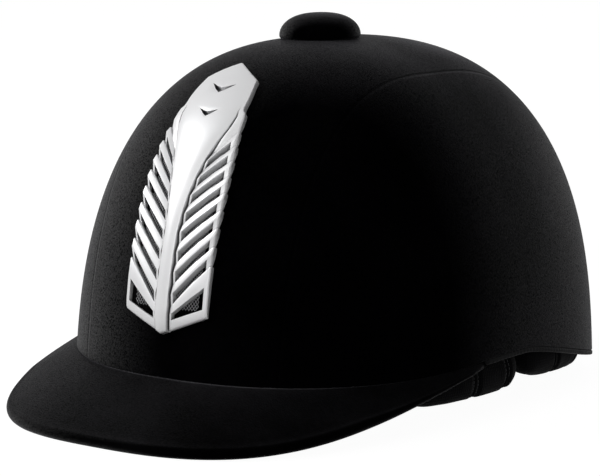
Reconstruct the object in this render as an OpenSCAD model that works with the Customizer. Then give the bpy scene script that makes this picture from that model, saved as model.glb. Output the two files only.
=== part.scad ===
// Riding helmet with a velvet cover, a front vent strip and a crown button.
// Frame: +Z up, the face looks along -Y, +X is the wearer's left.
// The helmet stands on Z = 0 with its peak edge and the back of its rim.
// A place on the dome is given by u, the angle from the front towards +X, by a
// height z, and by a depth o measured inwards from the velvet surface.

/* [Dome] */
// Centre of the helmet to the brow, outside
dome_front = 125; // [115:1:140]
// Centre of the helmet to the back, outside
dome_back = 135; // [125:1:150]
// Half of the outside width
dome_half = 108; // [100:1:120]
// Height of the crown above the ground
dome_top = 163.4; // [155:1:180]

/* [Layers] */
// Thickness of the velvet
velvet_t = 0.9; // [0.6:0.1:1.2]
// Wall of the hard shell
shell_t = 3; // [2.4:0.1:3.5]
// Thickness of the foam liner
foam_t = 18; // [15:0.5:20]
// Thickness of the padded inner lining
lining_t = 2.8; // [2:0.1:4]

/* [Rim] */
// Height of the rim at the brow, behind the peak
rim_front = 10; // [8:0.5:12]
// Height of the rim over the ears
rim_side = 26.6; // [24:0.2:28]
// Height of the edge binding
binding_h = 2.4; // [2:0.1:3]

/* [Peak] */
// Reach of the peak edge ahead of its root line over the ears
peak_reach = 179; // [170:1:190]
// Half width of the peak
peak_half = 107.6; // [106.6:0.2:110]
// Height of the peak root on the front of the dome
crease_z = 22.4; // [20:0.2:24]
// Thickness of the rolled peak edge
peak_edge_t = 5.2; // [4.4:0.2:6]

/* [Vent strip] */
// Half width of the strip at its lower corners
strip_half = 22.5; // [20:0.5:24]
// Half width of the raised blade at its narrow end
blade_half = 3.2; // [2.6:0.1:3.6]
// Height of the blade ridge over the velvet
blade_h = 4.2; // [3.4:0.1:5]
// Height of the fins over the velvet
fin_h = 2.5; // [2:0.1:3]
// Slots between the fins on each side
fin_slots = 8; // [6:1:9]
// Slots along the mesh behind the strip
mesh_rows = 14; // [8:1:16]

/* [Button] */
// Diameter of the crown button
button_d = 37.4; // [34:0.2:40]
// Height of the crown button
button_h = 11.6; // [10:0.2:13]

/* [Fit dial] */
// Diameter of the dial knob
knob_d = 26; // [23:0.5:28]
// Height of the dial knob
knob_h = 9; // [8:0.5:10]
// Module of the pinion and its racks
tooth_module = 1; // [0.95:0.01:1.02]
// Half length of the dial housing
housing_half = 27; // [25:0.5:28]
// Height of the two racks and of the bands they end in
band_h = 7.4; // [6.8:0.1:7.4]

/* [Fit pads] */
// Height of the lower edge of the side pads
pad_low = 8.5; // [7:0.5:12]
// Thickness of the side and back pads
pad_t = 13; // [10:0.5:14]

/* [Harness] */
// Width of the side webbing
webbing_w = 18; // [15:0.5:20]
// Width of the chin webbing
chin_w = 16; // [13:0.5:17]
// Thickness of all webbing
webbing_t = 1.6; // [1.2:0.1:1.8]
// Hinge pins of the harness to the bar of the strap divider
divider_reach = 60; // [56:1:60]
// Length of the chin webbing
chin_len = 58; // [50:1:60]

/* [Hidden] */

// Columns round the dome and rows from the crown to the rim
stations = 60;
rows = 14;
round_fn = 48;

// Shape powers of the plan and of the dome profile at the front, sides and back
front_plan = 2.27;
back_plan = 2.37;
front_r = 2.9;
side_r = 2.24;
back_r = 2.61;
front_rise = 2.48;
side_rise = 2.74;
back_rise = 3.03;
widest_z = -18;

// Depths of the layers inside the velvet surface
shell_out = velvet_t + 0.2;
shell_in = shell_out + shell_t;
foam_out = shell_in + 0.6;
foam_in = foam_out + foam_t;
lining_out = foam_in + 0.6;
lining_in = lining_out + lining_t;
foam_low_front = 24;
foam_low_side = 40;
lining_low = 54;
lining_steps = 9;

// Peak outline and its end beside the rim
peak_root_y = 9.1;
peak_power = 2.74;
peak_side_z = 28.5;
peak_end_v = 83;
core_end_v = 70;
peak_steps = 15;
peak_tip_y = peak_root_y - peak_reach;
root_gap = 0.3;
peak_screw_u = [-22, 0, 22];
peak_screw_z = 17;
screw_r = 1.5;
screw_gap = 0.02;

// Lengths of the drills that pass through the dome and through one wall
drill = 60;
wall_drill = 20;

// Vent strip rows, as angles down from the crown along the middle of the dome
strip_tip_a = 75.6;
strip_corner_a = 72.9;
slot_inner_a = 69.6;
slot_outer_a = 65.4;
slot_a = 1.7;
slot_inner_step = 26.6 / fin_slots;
slot_outer_step = 24 / fin_slots;
strip_back_h = 1;
groove_w = 1;
frame_share = 0.82;
vent_u = 6;
vent_low_z = 52;
vent_high_z = 138;
foam_vent_u = 12;
foam_vent_down = 12;
foam_vent_up = 8;
clamp_z = [65, 127];
clamp_half = 17;
boss_r = 2.75;
strip_screw_r = 1.2;
clamp_depth = shell_in + 2.2;
clamp_t = 2;

// Crown button
button_y = -10.4;
button_tilt = 1.7;
button_z = dome_top - 0.6;
button_dish = 0.9;
button_screw_r = 2;
foam_crown_r = 8;

// Fit dial: a pinion between a front and a back rack
pinion_teeth = 10;
pressure_a = 25;
pitch_r = pinion_teeth * tooth_module / 2;
addendum = 0.85 * tooth_module;
dedendum = 1.1 * tooth_module;
backlash = 0.24;
band_travel = 7;
bar_t = 2.2;
pinion_y = dome_back - 20;
bar_y = pitch_r + dedendum + bar_t;
housing_z = 26;
plate_t = 2;
plate_gap = 0.3;
wall_t = 1.6;
bar_gap = 0.5;
housing_front = pinion_y - bar_y - bar_gap - wall_t;
housing_back = pinion_y + bar_y + bar_gap + wall_t;
rack_low = housing_z + plate_t + plate_gap;
lid_z = rack_low + band_h + plate_gap;
housing_rivet_u = 9;
shaft_r = 3;
top_pivot_r = 2;
shaft_gap = 0.05;
knob_top = housing_z - 0.5;
lid_screw_x = 21;

// Bands and pads of the fit cradle
band_depth = 6.4;
band_t = 2;
band_front_u = 52;
band_back_u = 148;
pad_top = rack_low + band_h;
pad_depth = band_depth + band_t + 0.4;
pad_rim_gap = 1;
pad_swell = 4;
pad_under = 2.8;
pad_angles = [0, 9, each [24:24:359]];

// Harness
hinge_inset = 40.8;
hinge_x = dome_half - hinge_inset;
hinge_z = 46;
front_pin_y = -35;
back_pin_y = 45;
pin_r = 2;
pin_gap = 0.05;
eye_wall = 1.9;
lean = 18;
chin_lean = 0;
divider_y = 5;
divider_t = 5.2;
leg_spread = 6;
leg_straight = 6.5;
bar_offset = 6;
bar_r = 1.6;
ear_t = 2;
rivet_r = 2;
head_r = 4;
head_t = 1;
head_sink = 1.1;
bracket_x = hinge_x + 4.2;
bracket_t = 2;
ear_r = 3.6;

function lerp(a, b, t) = a + (b - a) * t;
function smooth(t) = t * t * (3 - 2 * t);
function blend(u, f, s, b) = let (c = cos(u)) c > 0 ? s + (f - s) * c * c : s + (b - s) * c * c;

// The dome: plan radius, and points by angle from the crown or by height
function plan_r(u, o) = let (f = cos(u) > 0, a = (f ? dome_front : dome_back) - o,
    k = f ? front_plan : back_plan)
    pow(pow(abs(sin(u)) / (dome_half - o), k) + pow(abs(cos(u)) / a, k), -1 / k);
function dome_pt(u, phi, o) = let (n = blend(u, front_r, side_r, back_r),
    m = blend(u, front_rise, side_rise, back_rise), r = plan_r(u, o) * pow(sin(phi), 2 / n))
    [r * sin(u), -r * cos(u), widest_z + (dome_top - widest_z - o) * pow(max(0, cos(phi)), 2 / m)];
function phi_at(u, z, o) = let (m = blend(u, front_rise, side_rise, back_rise))
    acos(pow((z - widest_z) / (dome_top - widest_z - o), m / 2));
function wall_pt(u, z, o) = dome_pt(u, phi_at(u, z, o), o);
function wall_r(u, z, o) = let (p = wall_pt(u, z, o)) norm([p.x, p.y]);

// Lower edges of the layers
function rim_z(u) = cos(u) > 0 ? lerp(rim_side, rim_front, pow(cos(u), 2))
    : rim_side * (1 - pow(-cos(u), 1.35));
function side_u(u) = abs(u > 180 ? u - 360 : u);
function crease(u) = lerp(crease_z, rim_z(peak_u) + binding_h, pow(side_u(u) / peak_u, 4));
function velvet_low(u) = side_u(u) < peak_u ? crease(u) + 0.1 : rim_z(u) + binding_h;
function shell_low(u) = rim_z(u) + binding_h;
function foam_low(u) = side_u(u) > 45 ? foam_low_side
    : lerp(foam_low_side, foam_low_front, pow(cos(2 * u), 2));

// Grid of points of one dome surface down to a lower edge
function dome_rows(o, low, steps) = [for (i = [0:steps]) [for (j = [0:stations - 1])
    let (u = 360 * j / stations) dome_pt(u, phi_at(u, low(u), o) * i / steps, o)]];

// Closed skin between two grids of points, open where keep(row, column) is false
module sheet(P, Q, wrap = false, cap = false, keep = function(i, j) true) {
    R = len(P) - 1;
    n = len(P[0]);
    C = wrap ? n : n - 1;
    k = (R + 1) * n;
    function id(s, i, j) = s * k + (cap && i == 0 ? 0 : i * n + j % n);
    function on(i, j) = i >= 0 && i < R && (wrap || (j >= 0 && j < C)) && keep(i, (j + C) % C);
    function tri(a, b, c) = a != b && b != c && a != c ? [[a, b, c]] : [];
    function quad(a, b, c, d) = concat(tri(a, b, c), tri(a, c, d));
    function rim(a, b) = quad(a, b, b + k, a + k);
    faces = [for (i = [0:R - 1]) for (j = [0:C - 1]) if (on(i, j)) each concat(
        quad(id(0, i, j), id(0, i, j + 1), id(0, i + 1, j + 1), id(0, i + 1, j)),
        quad(id(1, i, j), id(1, i + 1, j), id(1, i + 1, j + 1), id(1, i, j + 1)),
        on(i + 1, j) ? [] : rim(id(0, i + 1, j), id(0, i + 1, j + 1)),
        on(i - 1, j) || (cap && i == 0) ? [] : rim(id(0, i, j + 1), id(0, i, j)),
        on(i, j + 1) ? [] : rim(id(0, i + 1, j + 1), id(0, i, j + 1)),
        on(i, j - 1) ? [] : rim(id(0, i, j), id(0, i + 1, j)))];
    polyhedron(concat([for (row = P) each row], [for (row = Q) each row]), faces);
}

// Closed solid swept through a list of sections with equal point counts
module sweep(S) {
    n = len(S[0]);
    m = len(S);
    sides = [for (i = [0:m - 2]) for (j = [0:n - 1]) let (a = i * n + j, b = i * n + (j + 1) % n)
        each [[a, b, b + n], [a, b + n, a + n]]];
    polyhedron([for (s = S) each s], concat(sides, [[for (j = [n - 1:-1:0]) j]],
        [[for (j = [0:n - 1]) (m - 1) * n + j]]));
}

// Cylinder through the dome wall, square to the vertical axis
module radial_hole(u, z, r) rotate([0, 0, u]) translate([0, 0, z]) rotate([90, 0, 0])
    translate([0, 0, dome_half / 2]) cylinder(h = dome_front, r = r, $fn = round_fn);
module at_wall(u, z, o) translate(wall_pt(u, z, o)) children();

// Slope of the dome at the middle of the front, as the rise of its normal
function front_slope(phi) = let (a = dome_pt(0, phi - 1, 0), b = dome_pt(0, phi + 1, 0))
    atan2(a.y - b.y, a.z - b.z);
module on_front(z) {
    phi = phi_at(0, z, 0);
    translate(dome_pt(0, phi, 0)) rotate([90 - front_slope(phi), 0, 0]) children();
}

// Window behind the vent strip, as whole cells of the dome grid
function in_window(low, steps, half_u, zl, zh) = function(i, j) let (c = 360 / stations,
    u = side_u(c * (j + 0.5)), z = dome_pt(0, phi_at(0, low(0), 0) * (i + 0.5) / steps, 0).z)
    !(u < half_u && z > zl && z < zh);

// Strap rivets: [side, y of the pin]
strap_places = [for (s = [1, -1]) for (y = [front_pin_y, back_pin_y]) [s, y]];
function wall_x(y, z, o) = let (a = atan2(dome_half * 0.8, -y), b = wall_pt(a, z, o),
    c = wall_pt(atan2(b.x, -y), z, o), d = wall_pt(atan2(c.x, -y), z, o)) d.x;
module strap_holes(r, from_x, to_x) for (p = strap_places) translate([p[0] * from_x, p[1], hinge_z])
    rotate([0, p[0] * 90, 0]) cylinder(h = to_x - from_x, r = r, $fn = round_fn);

module velvet_cover() color("#17151a") difference() {
    sheet(dome_rows(0, function(u) velvet_low(u), rows),
        dome_rows(velvet_t, function(u) velvet_low(u), rows), true, true,
        in_window(function(u) velvet_low(u), rows, vent_u, vent_low_z, vent_high_z));
    translate([0, button_y, dome_top - drill / 2])
        cylinder(h = drill, r = button_screw_r + 0.4, $fn = round_fn);
}

module outer_shell() color("#2b2b2e") difference() {
    sheet(dome_rows(shell_out, function(u) shell_low(u), rows),
        dome_rows(shell_in, function(u) shell_low(u), rows), true, true,
        in_window(function(u) shell_low(u), rows, vent_u, vent_low_z, vent_high_z));
    translate([0, button_y, dome_top - drill / 2])
        cylinder(h = drill, r = button_screw_r + 0.2, $fn = round_fn);
    for (u = peak_screw_u) radial_hole(u, peak_screw_z, screw_r + 0.2);
    for (u = [180 - housing_rivet_u, 180 + housing_rivet_u]) at_wall(u, housing_mid, shell_out)
        rotate([90, 0, 0]) {
            cylinder(h = wall_drill, r = screw_r + 0.1, center = true, $fn = round_fn);
            translate([0, 0, -wall_drill]) cylinder(h = wall_drill + head_sink + head_t + 0.05,
                r = small_head_r + 0.2, $fn = round_fn);
        }
    strap_holes(rivet_r + 0.1, hinge_x, hinge_x + drill);
    for (p = strap_places) let (x = wall_x(p[1], hinge_z, shell_out) - head_sink - head_t - 0.05)
        translate([p[0] * x, p[1], hinge_z]) rotate([0, p[0] * 90, 0])
            cylinder(h = wall_drill, r = head_r + 0.2, $fn = round_fn);
}

module foam_liner() color("#3a3a3c") difference() {
    sheet(dome_rows(foam_out, function(u) foam_low(u), rows - 2),
        dome_rows(foam_in, function(u) foam_low(u), rows - 2), true, true,
        in_window(function(u) foam_low(u), rows - 2, foam_vent_u,
            vent_low_z - foam_vent_down, vent_high_z + foam_vent_up));
    translate([0, button_y, dome_top - drill])
        cylinder(h = 2 * drill, r = foam_crown_r, $fn = round_fn);
    strap_holes(rivet_r + 0.2, hinge_x - 4, hinge_x + drill);
}

module inner_lining() color("#242428")
    sheet(dome_rows(lining_out, function(u) lining_low, lining_steps),
        dome_rows(lining_in, function(u) lining_low, lining_steps), true, true);

// Padded roll that follows the dome wall between two depths and two heights.
// Channels are the angles where the roll is sewn down. Its lower edge drops by
// drop from end to end, and below the height under it swells out to the depth low_o.
module wall_pad(u0, u1, z0, z1, o0, o1, steps, channels = [], drop = 0, under = 0, low_o = 0) {
    q = 3.2;
    function out_at(z) = lerp(o0, low_o, smooth(min(1, max(0, (under - z) / pad_swell))));
    function pinch(u) = max([0, for (c = channels) 1 - min(1, abs(u - c) / 2.2)]);
    sweep([for (i = [0:steps]) let (s = 2 * i / steps - 1, u = lerp(u0, u1, (s + 1) / 2),
        f = pow(1 - pow(abs(s), 5) * 0.985, 0.5) * (1 - 0.16 * pinch(u)))
        [for (a = pad_angles) let (c = cos(a), w = sin(a), low = z0 - drop * (s + 1) / 2,
            z = (low + z1) / 2 + f * (z1 - low) / 2 * sign(w) * pow(abs(w), 2 / q), oz = out_at(z),
            o = (oz + o1) / 2 - f * (o1 - oz) / 2 * sign(c) * pow(abs(c), 2 / q),
            r = wall_r(u, z, o)) [r * sin(u), -r * cos(u), z]]]);
}

module brow_pad() color("#1c1c20")
    wall_pad(-46, 46, rim_front + 4, foam_low_side + 10, lining_out, lining_in + 5, 16, [-22, 0, 22]);

// The binding hugs the shell edge; behind the peak it stays flush with the shell
function binding_out(u) = side_u(u) < peak_u + 6 ? shell_out : -0.2;
function binding_ring(o_of, dz) = [for (j = [0:stations - 1]) let (u = 360 * j / stations,
    z = rim_z(u) + dz, r = wall_r(u, z, o_of(u))) [r * sin(u), -r * cos(u), z]];
module rim_binding() color("#141416") sheet(
    [binding_ring(function(u) binding_out(u), binding_h - 0.05),
        binding_ring(function(u) binding_out(u) + 0.4, 0)],
    [binding_ring(function(u) shell_in + 0.2, binding_h - 0.05),
        binding_ring(function(u) shell_in - 0.2, 0)], true);

// Outer edge of the peak, by its own angle v from the middle
function peak_edge(v) = let (x = peak_half * sign(v) * pow(abs(sin(v)), 2 / peak_power),
    y = peak_root_y - peak_reach * pow(cos(v), 2 / peak_power),
    w = (y - peak_tip_y) / peak_reach) [x, y, peak_side_z * smooth(w)];
peak_u = let (e = peak_edge(peak_end_v)) atan2(e.x, -e.y);

// Section of the peak at v, inset by d: 6 points on top, 6 round the edge, 5 below
function peak_section(v, d) = let (e = peak_edge(v), u = atan2(e.x, -e.y),
    far = norm([e.x, e.y]), zc = crease(u), zr = rim_z(u) + 0.1,
    top_r = wall_r(u, zc, shell_out) + root_gap, low_r = wall_r(u, zr, shell_out) + root_gap,
    n = min(peak_edge_t / 2, (far - top_r) / 3, (zc - zr) / 2.1), k = max(n - d, 0.05),
    put = function(r, z) [r * sin(u), -r * cos(u), z])
    concat([for (t = [0, 0.12, 0.3, 0.52, 0.76, 0.94]) put(lerp(top_r, far - n, t),
            lerp(zc, e.z + 2 * n, pow(t, 1.15)) - d)],
        [for (a = [75, 45, 15, -20, -55, -90]) put(far - n + k * cos(a), e.z + n + k * sin(a))],
        [for (t = [0.8, 0.75, 0.5, 0.25, 0]) put(lerp(low_r, far - n, t), lerp(zr, e.z, t) + d)]);
function peak_stations(end) = [for (i = [-peak_steps:peak_steps]) let (s = i / peak_steps)
    end * sign(s) * pow(abs(s), 1.2)];
peak_cover_count = 13;

module peak_core() color("#2b2b2e") difference() {
    sweep([for (v = peak_stations(core_end_v)) reversed(peak_section(v, velvet_t + 0.1))]);
    for (u = peak_screw_u) radial_hole(u, peak_screw_z, screw_r + screw_gap);
}

// Part of the peak skin, from one point of the section to another
module peak_skin(first, last) {
    function cut(d) = [for (v = peak_stations(peak_end_v)) let (s = peak_section(v, d))
        [for (j = [last:-1:first]) s[j]]];
    sheet(cut(0), cut(velvet_t));
}
module peak_cover() color("#1b191e") peak_skin(0, peak_cover_count - 1);
module peak_lining() color("#141416") peak_skin(peak_cover_count, peak_cover_count + 3);

module screw(r, length, head, head_h) {
    cylinder(h = length, r = r, $fn = round_fn);
    difference() {
        translate([0, 0, -head_h]) cylinder(h = head_h, r = head, $fn = round_fn);
        for (a = [0, 90]) rotate([0, 0, a]) translate([-head * 0.6, -0.35, -head_h - 1])
            cube([head * 1.2, 0.7, 1.8]);
    }
}

// Screws out of the shell into the root of the peak
module peak_screws() color("#8f9195") for (u = peak_screw_u)
    rotate([0, 0, u]) translate([0, -(wall_r(u, peak_screw_z, shell_in) - 0.6), peak_screw_z])
        rotate([90, 0, 0]) screw(screw_r, 10, 3.2, 1.8);

// Point over the front of the dome: x across, phi down from the crown, h outwards
function strip_pt(x, phi, h) = let (r = plan_r(0, -h) * pow(sin(phi), 2 / front_r))
    dome_pt(asin(x / r), phi, -h);
function blade_at(phi) = blade_half + 14.2 * pow(max(0, (62 - phi) / 25), 1.7);
function strip_half_at(phi) = strip_half - (phi < 57 ? 3.2 * pow((57 - phi) / 15.5, 2) : 0);

// One row of the strip: half width, angle at the blade and at the frame, and blade
function strip_row(inner, outer, half, blade) = let (b = min(blade, 0.7 * half), g = b + groove_w,
    f = frame_share * half, rest = outer - (inner - outer) * (half - f) / (f - g) * 0.25)
    [[0, inner, blade_h], [b, inner, blade_h - 0.8], [g, inner, fin_h - 0.9],
        [g + 0.5, lerp(inner, outer, 0.5 / (f - g)), fin_h],
        [f, outer, fin_h], [half, rest, fin_h - 0.6]];
function plate_row(mid, corner, half) = [for (x = [0, 0.35, 0.5, 0.6, 0.8, 1])
    [x * half, lerp(mid, corner, x), x < 0.9 ? blade_h - 0.8 * x : fin_h]];
strip_rows = concat(
    [[for (x = [0, 0.14, 0.2, 0.24, frame_share, 1]) [x * strip_half,
        lerp(strip_tip_a, strip_corner_a, x), fin_h - 0.4]]],
    [strip_row(73.4, 71.8, strip_half, blade_half), strip_row(73.1, 68.6, strip_half, blade_half)],
    [for (k = [0:fin_slots - 1]) let (i = slot_inner_a - k * slot_inner_step,
        o = slot_outer_a - k * slot_outer_step) each [
        strip_row(i, o, strip_half_at(o) - 0.9, blade_at(i)),
        strip_row(i - slot_a, o - slot_a, strip_half_at(o - slot_a), blade_at(i - slot_a))]],
    [plate_row(39.5, 38.6, 17.6), plate_row(36, 36, 16.2), plate_row(33, 33.4, 16),
        plate_row(28, 29.6, 14.6), plate_row(23.1, 28, 13.7)]);
slot_last_row = 2 * fin_slots + 2;
function strip_grid(back) = [for (row = [for (i = [len(strip_rows) - 1:-1:0]) strip_rows[i]])
    [for (j = [-5:5]) let (p = row[abs(j)]) strip_pt(sign(j) * p[0], p[1], back ? strip_back_h : p[2])]];
function strip_solid(i, j) = let (k = len(strip_rows) - 2 - i)
    !((j == 1 || j == 8) && (k == 1 || (k > 2 && k < slot_last_row && k % 2 == 1)));

module vent_strip() color("#d9dadd") difference() {
    union() {
        sheet(strip_grid(false), strip_grid(true), keep = function(i, j) strip_solid(i, j));
        for (z = clamp_z) on_front(z) translate([0, 0, -clamp_depth + 0.1])
            cylinder(h = clamp_depth - 0.1 + strip_back_h + 0.8, r = boss_r, $fn = round_fn);
    }
    for (z = clamp_z) on_front(z) translate([0, 0, -clamp_depth - 1])
        cylinder(h = clamp_depth + 1.6, r = strip_screw_r + screw_gap, $fn = round_fn);
}

// Wire mesh behind the strip, an open net of square holes
mesh_cols = 6;
module vent_mesh() color("#0e0e10") {
    net = function(h) [for (i = [0:2 * mesh_rows]) [for (j = [0:2 * mesh_cols])
        strip_pt(lerp(-17.5, 17.5, j / (2 * mesh_cols)), lerp(40.5, 72, i / (2 * mesh_rows)), h)]];
    difference() {
        sheet(net(0.55), net(0.12), keep = function(i, j) !(i % 2 == 1 && j % 2 == 1));
        for (z = clamp_z) on_front(z)
            cylinder(h = 10, r = boss_r + 0.5, center = true, $fn = round_fn);
    }
}

module strip_clamps() color("#26262a") for (z = clamp_z) on_front(z) difference() {
    translate([-clamp_half, -5, -clamp_depth - clamp_t]) cube([2 * clamp_half, 10, clamp_t]);
    translate([0, 0, -clamp_depth - 5]) cylinder(h = 10, r = strip_screw_r + 0.2, $fn = round_fn);
}
module strip_screws() color("#8f9195") for (z = clamp_z) on_front(z)
    translate([0, 0, -clamp_depth - clamp_t - 0.05]) screw(strip_screw_r, 8.5, 2.5, 1.6);

// Side profile of the button: an upright quarter ellipse on a short straight skirt
module button_shape(r, h, dish) rotate_extrude($fn = 96) polygon(concat([[0, dish]],
    [[r - 2.2, dish * 0.4], [r - 1.1, 0]],
    [for (a = [0:7.5:90]) [(r - 0.01) * pow(max(0, cos(a)), 0.8), h * (0.12 + 0.88 * sin(a))]]));
module at_button() translate([0, button_y, button_z]) rotate([button_tilt, 0, 0]) children();
module button_core() color("#2b2b2e") at_button() difference() {
    translate([0, 0, velvet_t])
        button_shape(button_d / 2 - velvet_t - 0.1, button_h - 2 * velvet_t - 0.1, 0.3);
    translate([0, 0, -1]) cylinder(h = 8, r = button_screw_r + screw_gap, $fn = round_fn);
}
module button_cover() color("#17151a") at_button() difference() {
    button_shape(button_d / 2, button_h, button_dish);
    translate([0, 0, velvet_t - 0.05]) button_shape(button_d / 2 - velvet_t, button_h - 2 * velvet_t, 0.2);
    translate([0, 0, -2]) cylinder(h = 4, r = button_d / 2 - 4, $fn = 96);
}
washer_t = 1.2;
module button_screw() color("#8f9195") at_button()
    translate([0, 0, -(shell_in + 0.25 + washer_t)]) screw(button_screw_r, 12, 3.6, 2.2);
module button_washer() color("#a9abae") at_button() translate([0, 0, -(shell_in + 0.2 + washer_t)])
    difference() {
        cylinder(h = washer_t, r = 6, $fn = round_fn);
        translate([0, 0, -1]) cylinder(h = 4, r = button_screw_r + 0.2, $fn = round_fn);
    }

// Fit dial housing: a tunnel for the two racks, open at both ends
housing_mid = rack_low + band_h / 2;
module housing_box(z, h) translate([-housing_half, housing_front, z])
    cube([2 * housing_half, housing_back - housing_front, h]);
small_head_r = 3;
module dial_base() color("#222226") difference() {
    union() {
        housing_box(housing_z, plate_t);
        for (y = [housing_front, housing_back - wall_t]) translate([-housing_half, y, housing_z])
            cube([2 * housing_half, wall_t, lid_z - housing_z - 0.05]);
        for (s = [-1, 1]) translate([s * rivet_x, housing_back - 0.5, housing_mid]) rotate([-90, 0, 0])
            cylinder(h = wall_pt(180 - housing_rivet_u, housing_mid, shell_in).y - housing_back - 0.7,
                r = 3.4, $fn = round_fn);
    }
    translate([0, pinion_y, housing_z - 1]) cylinder(h = 5, r = shaft_r + shaft_gap, $fn = round_fn);
    for (s = [-1, 1]) {
        translate([s * rivet_x, housing_back - wall_t - 1, housing_mid]) rotate([-90, 0, 0])
            cylinder(h = 12, r = screw_r + screw_gap, $fn = round_fn);
        translate([s * lid_screw_x, pinion_y, housing_z - 1])
            cylinder(h = 20, r = 1.2 + screw_gap, $fn = round_fn);
    }
}
rivet_x = wall_pt(180 - housing_rivet_u, housing_mid, shell_out).x;
module lid_post(x, r, h, z) translate([x, pinion_y, z]) cylinder(h = h, r = r, $fn = round_fn);
module dial_lid() color("#222226") difference() {
    union() {
        housing_box(lid_z, plate_t);
        for (s = [-1, 1])
            lid_post(s * lid_screw_x, 2.6, lid_z - housing_z - plate_t - 0.05, housing_z + plate_t + 0.05);
    }
    lid_post(0, top_pivot_r + shaft_gap, 4, lid_z - 1);
    for (s = [-1, 1]) lid_post(s * lid_screw_x, 1.2 + screw_gap, 9, housing_z + plate_t - 1);
}
module lid_screws() color("#8f9195") for (s = [-1, 1])
    translate([s * lid_screw_x, pinion_y, housing_z - 0.05]) screw(1.2, 8, 2.4, 1.4);
module housing_rivets() color("#8f9195") for (s = [-1, 1]) let (y = wall_pt(180 - housing_rivet_u,
    housing_mid, shell_out).y - head_sink) translate([s * rivet_x, y, housing_mid]) rotate([90, 0, 0]) {
        translate([0, 0, head_t]) cylinder(h = y - head_t - housing_back + wall_t - 0.2, r = screw_r - 0.02,
            $fn = round_fn);
        cylinder(h = head_t, r = small_head_r, $fn = round_fn);
    }

// Soft pad between the housing and the back of the head
module nape_pad() color("#1c1c20") {
    half = housing_half + 6;
    q = 3.4;
    sweep([for (i = [0:12]) let (s = i / 6 - 1, f = pow(1 - pow(abs(s), 5) * 0.985, 0.5))
        [for (a = [0:24:359]) [s * half,
            housing_front - 6.4
                - f * 6 * sign(cos(a)) * pow(abs(cos(a)), 2 / q),
            housing_z + 12.5 + f * 12 * sign(sin(a)) * pow(abs(sin(a)), 2 / q)]]]);
}

module dial_knob() color("#1d1d20") translate([0, pinion_y, knob_top]) difference() {
    rotate_extrude($fn = 96) polygon([[0, 0], [knob_d / 2 - 4, 0], [knob_d / 2, -1.6],
        [knob_d / 2, -knob_h + 2], [knob_d / 2 - 2, -knob_h], [0, -knob_h]]);
    for (a = [0:20:359]) rotate([0, 0, a]) translate([knob_d / 2 + 0.9, 0, -knob_h - 1])
        cylinder(h = knob_h + 2, r = 1.7, $fn = 24);
    translate([0, 0, -knob_h + 2.4]) cylinder(h = knob_h, r = shaft_r + screw_gap, $fn = round_fn);
    translate([0, 0, -knob_h - 1]) cylinder(h = knob_h, r = 1.4, $fn = round_fn);
}
module knob_screw() color("#8f9195") translate([0, pinion_y, knob_top - knob_h - 0.05])
    screw(1.2, 8, 2.6, 1.4);

// Involute pinion: polar angle of a flank point and the tooth outline
base_r = pitch_r * cos(pressure_a);
function roll(r) = let (t = sqrt(max(0, pow(r / base_r, 2) - 1))) t * 180 / PI - atan(t);
function flank_a(r) = 90 / pinion_teeth - backlash / 2 / pitch_r * 180 / PI - roll(r) + roll(pitch_r);
function tooth(c) = let (r0 = pitch_r - dedendum, r1 = pitch_r + addendum,
    up = [for (t = [0:0.2:1]) let (r = lerp(max(base_r, r0), r1, t)) [r, flank_a(r)]],
    half = concat([[r0, up[0][1] + 2]], up))
    [for (p = concat([for (q = half) [q[0], -q[1]]], [for (i = [len(half) - 1:-1:0]) half[i]]))
        [p[0] * cos(c + p[1]), p[0] * sin(c + p[1])]];
module dial_pinion() color("#c9c9cc") translate([0, pinion_y, 0]) difference() {
    union() {
        translate([0, 0, rack_low + 0.1]) linear_extrude(band_h - 0.2)
            polygon([for (k = [0:pinion_teeth - 1]) each tooth(-90 + 360 * k / pinion_teeth)]);
        translate([0, 0, knob_top - knob_h + 2.5]) cylinder(h = rack_low + 0.4 - (knob_top - knob_h + 2.5),
            r = shaft_r, $fn = round_fn);
        translate([0, 0, rack_low])
            cylinder(h = lid_z + plate_t - 0.3 - rack_low, r = top_pivot_r, $fn = round_fn);
    }
    translate([0, 0, knob_top - knob_h]) cylinder(h = 9, r = 1.2 + screw_gap, $fn = round_fn);
}

// Rack teeth along +X, with their roots on y and their tips on the side dir
rack_pitch = PI * tooth_module;
function rack_teeth(y, dir) = let (w = rack_pitch / 4 - backlash / 4, t = tan(pressure_a))
    [for (k = [-2:4]) let (c = (k + 0.5) * rack_pitch) each [[c - w - dedendum * t, y],
        [c - w + addendum * t, y + dir * (dedendum + addendum)],
        [c + w - addendum * t, y + dir * (dedendum + addendum)], [c + w + dedendum * t, y]]];
function reversed(list) = [for (i = [len(list) - 1:-1:0]) list[i]];

// Plan of one band: the stretch along the dome wall, then a straight bar with teeth.
// tail is where the bar ends past the pinion, knee where it leaves the straight.
function band_path(o) = [for (u = [band_front_u:4:band_back_u]) let (r = wall_r(u, housing_mid, o))
    [r * sin(u), -r * cos(u)]];
module band_plan(edge, dir) {
    back = edge - dir * bar_t;
    toothed = concat([[rack_knee, edge]], reversed(rack_teeth(edge, dir)), [[-rack_tail, edge]]);
    plain = [[rack_knee, back], [-rack_tail, back]];
    polygon(concat(band_path(band_depth), dir > 0 ? toothed : plain,
        reversed(dir > 0 ? plain : toothed), reversed(band_path(band_depth + band_t))));
}
rack_tail = 21;
rack_knee = 38;
// The left band runs before the pinion and the right band behind it
module left_band() color("#26262a") translate([0, 0, rack_low]) linear_extrude(band_h)
    band_plan(pinion_y - pitch_r - dedendum, 1);
module right_band() color("#26262a") translate([0, 0, rack_low]) linear_extrude(band_h) mirror([1, 0])
    band_plan(pinion_y + pitch_r + dedendum, -1);

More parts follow.
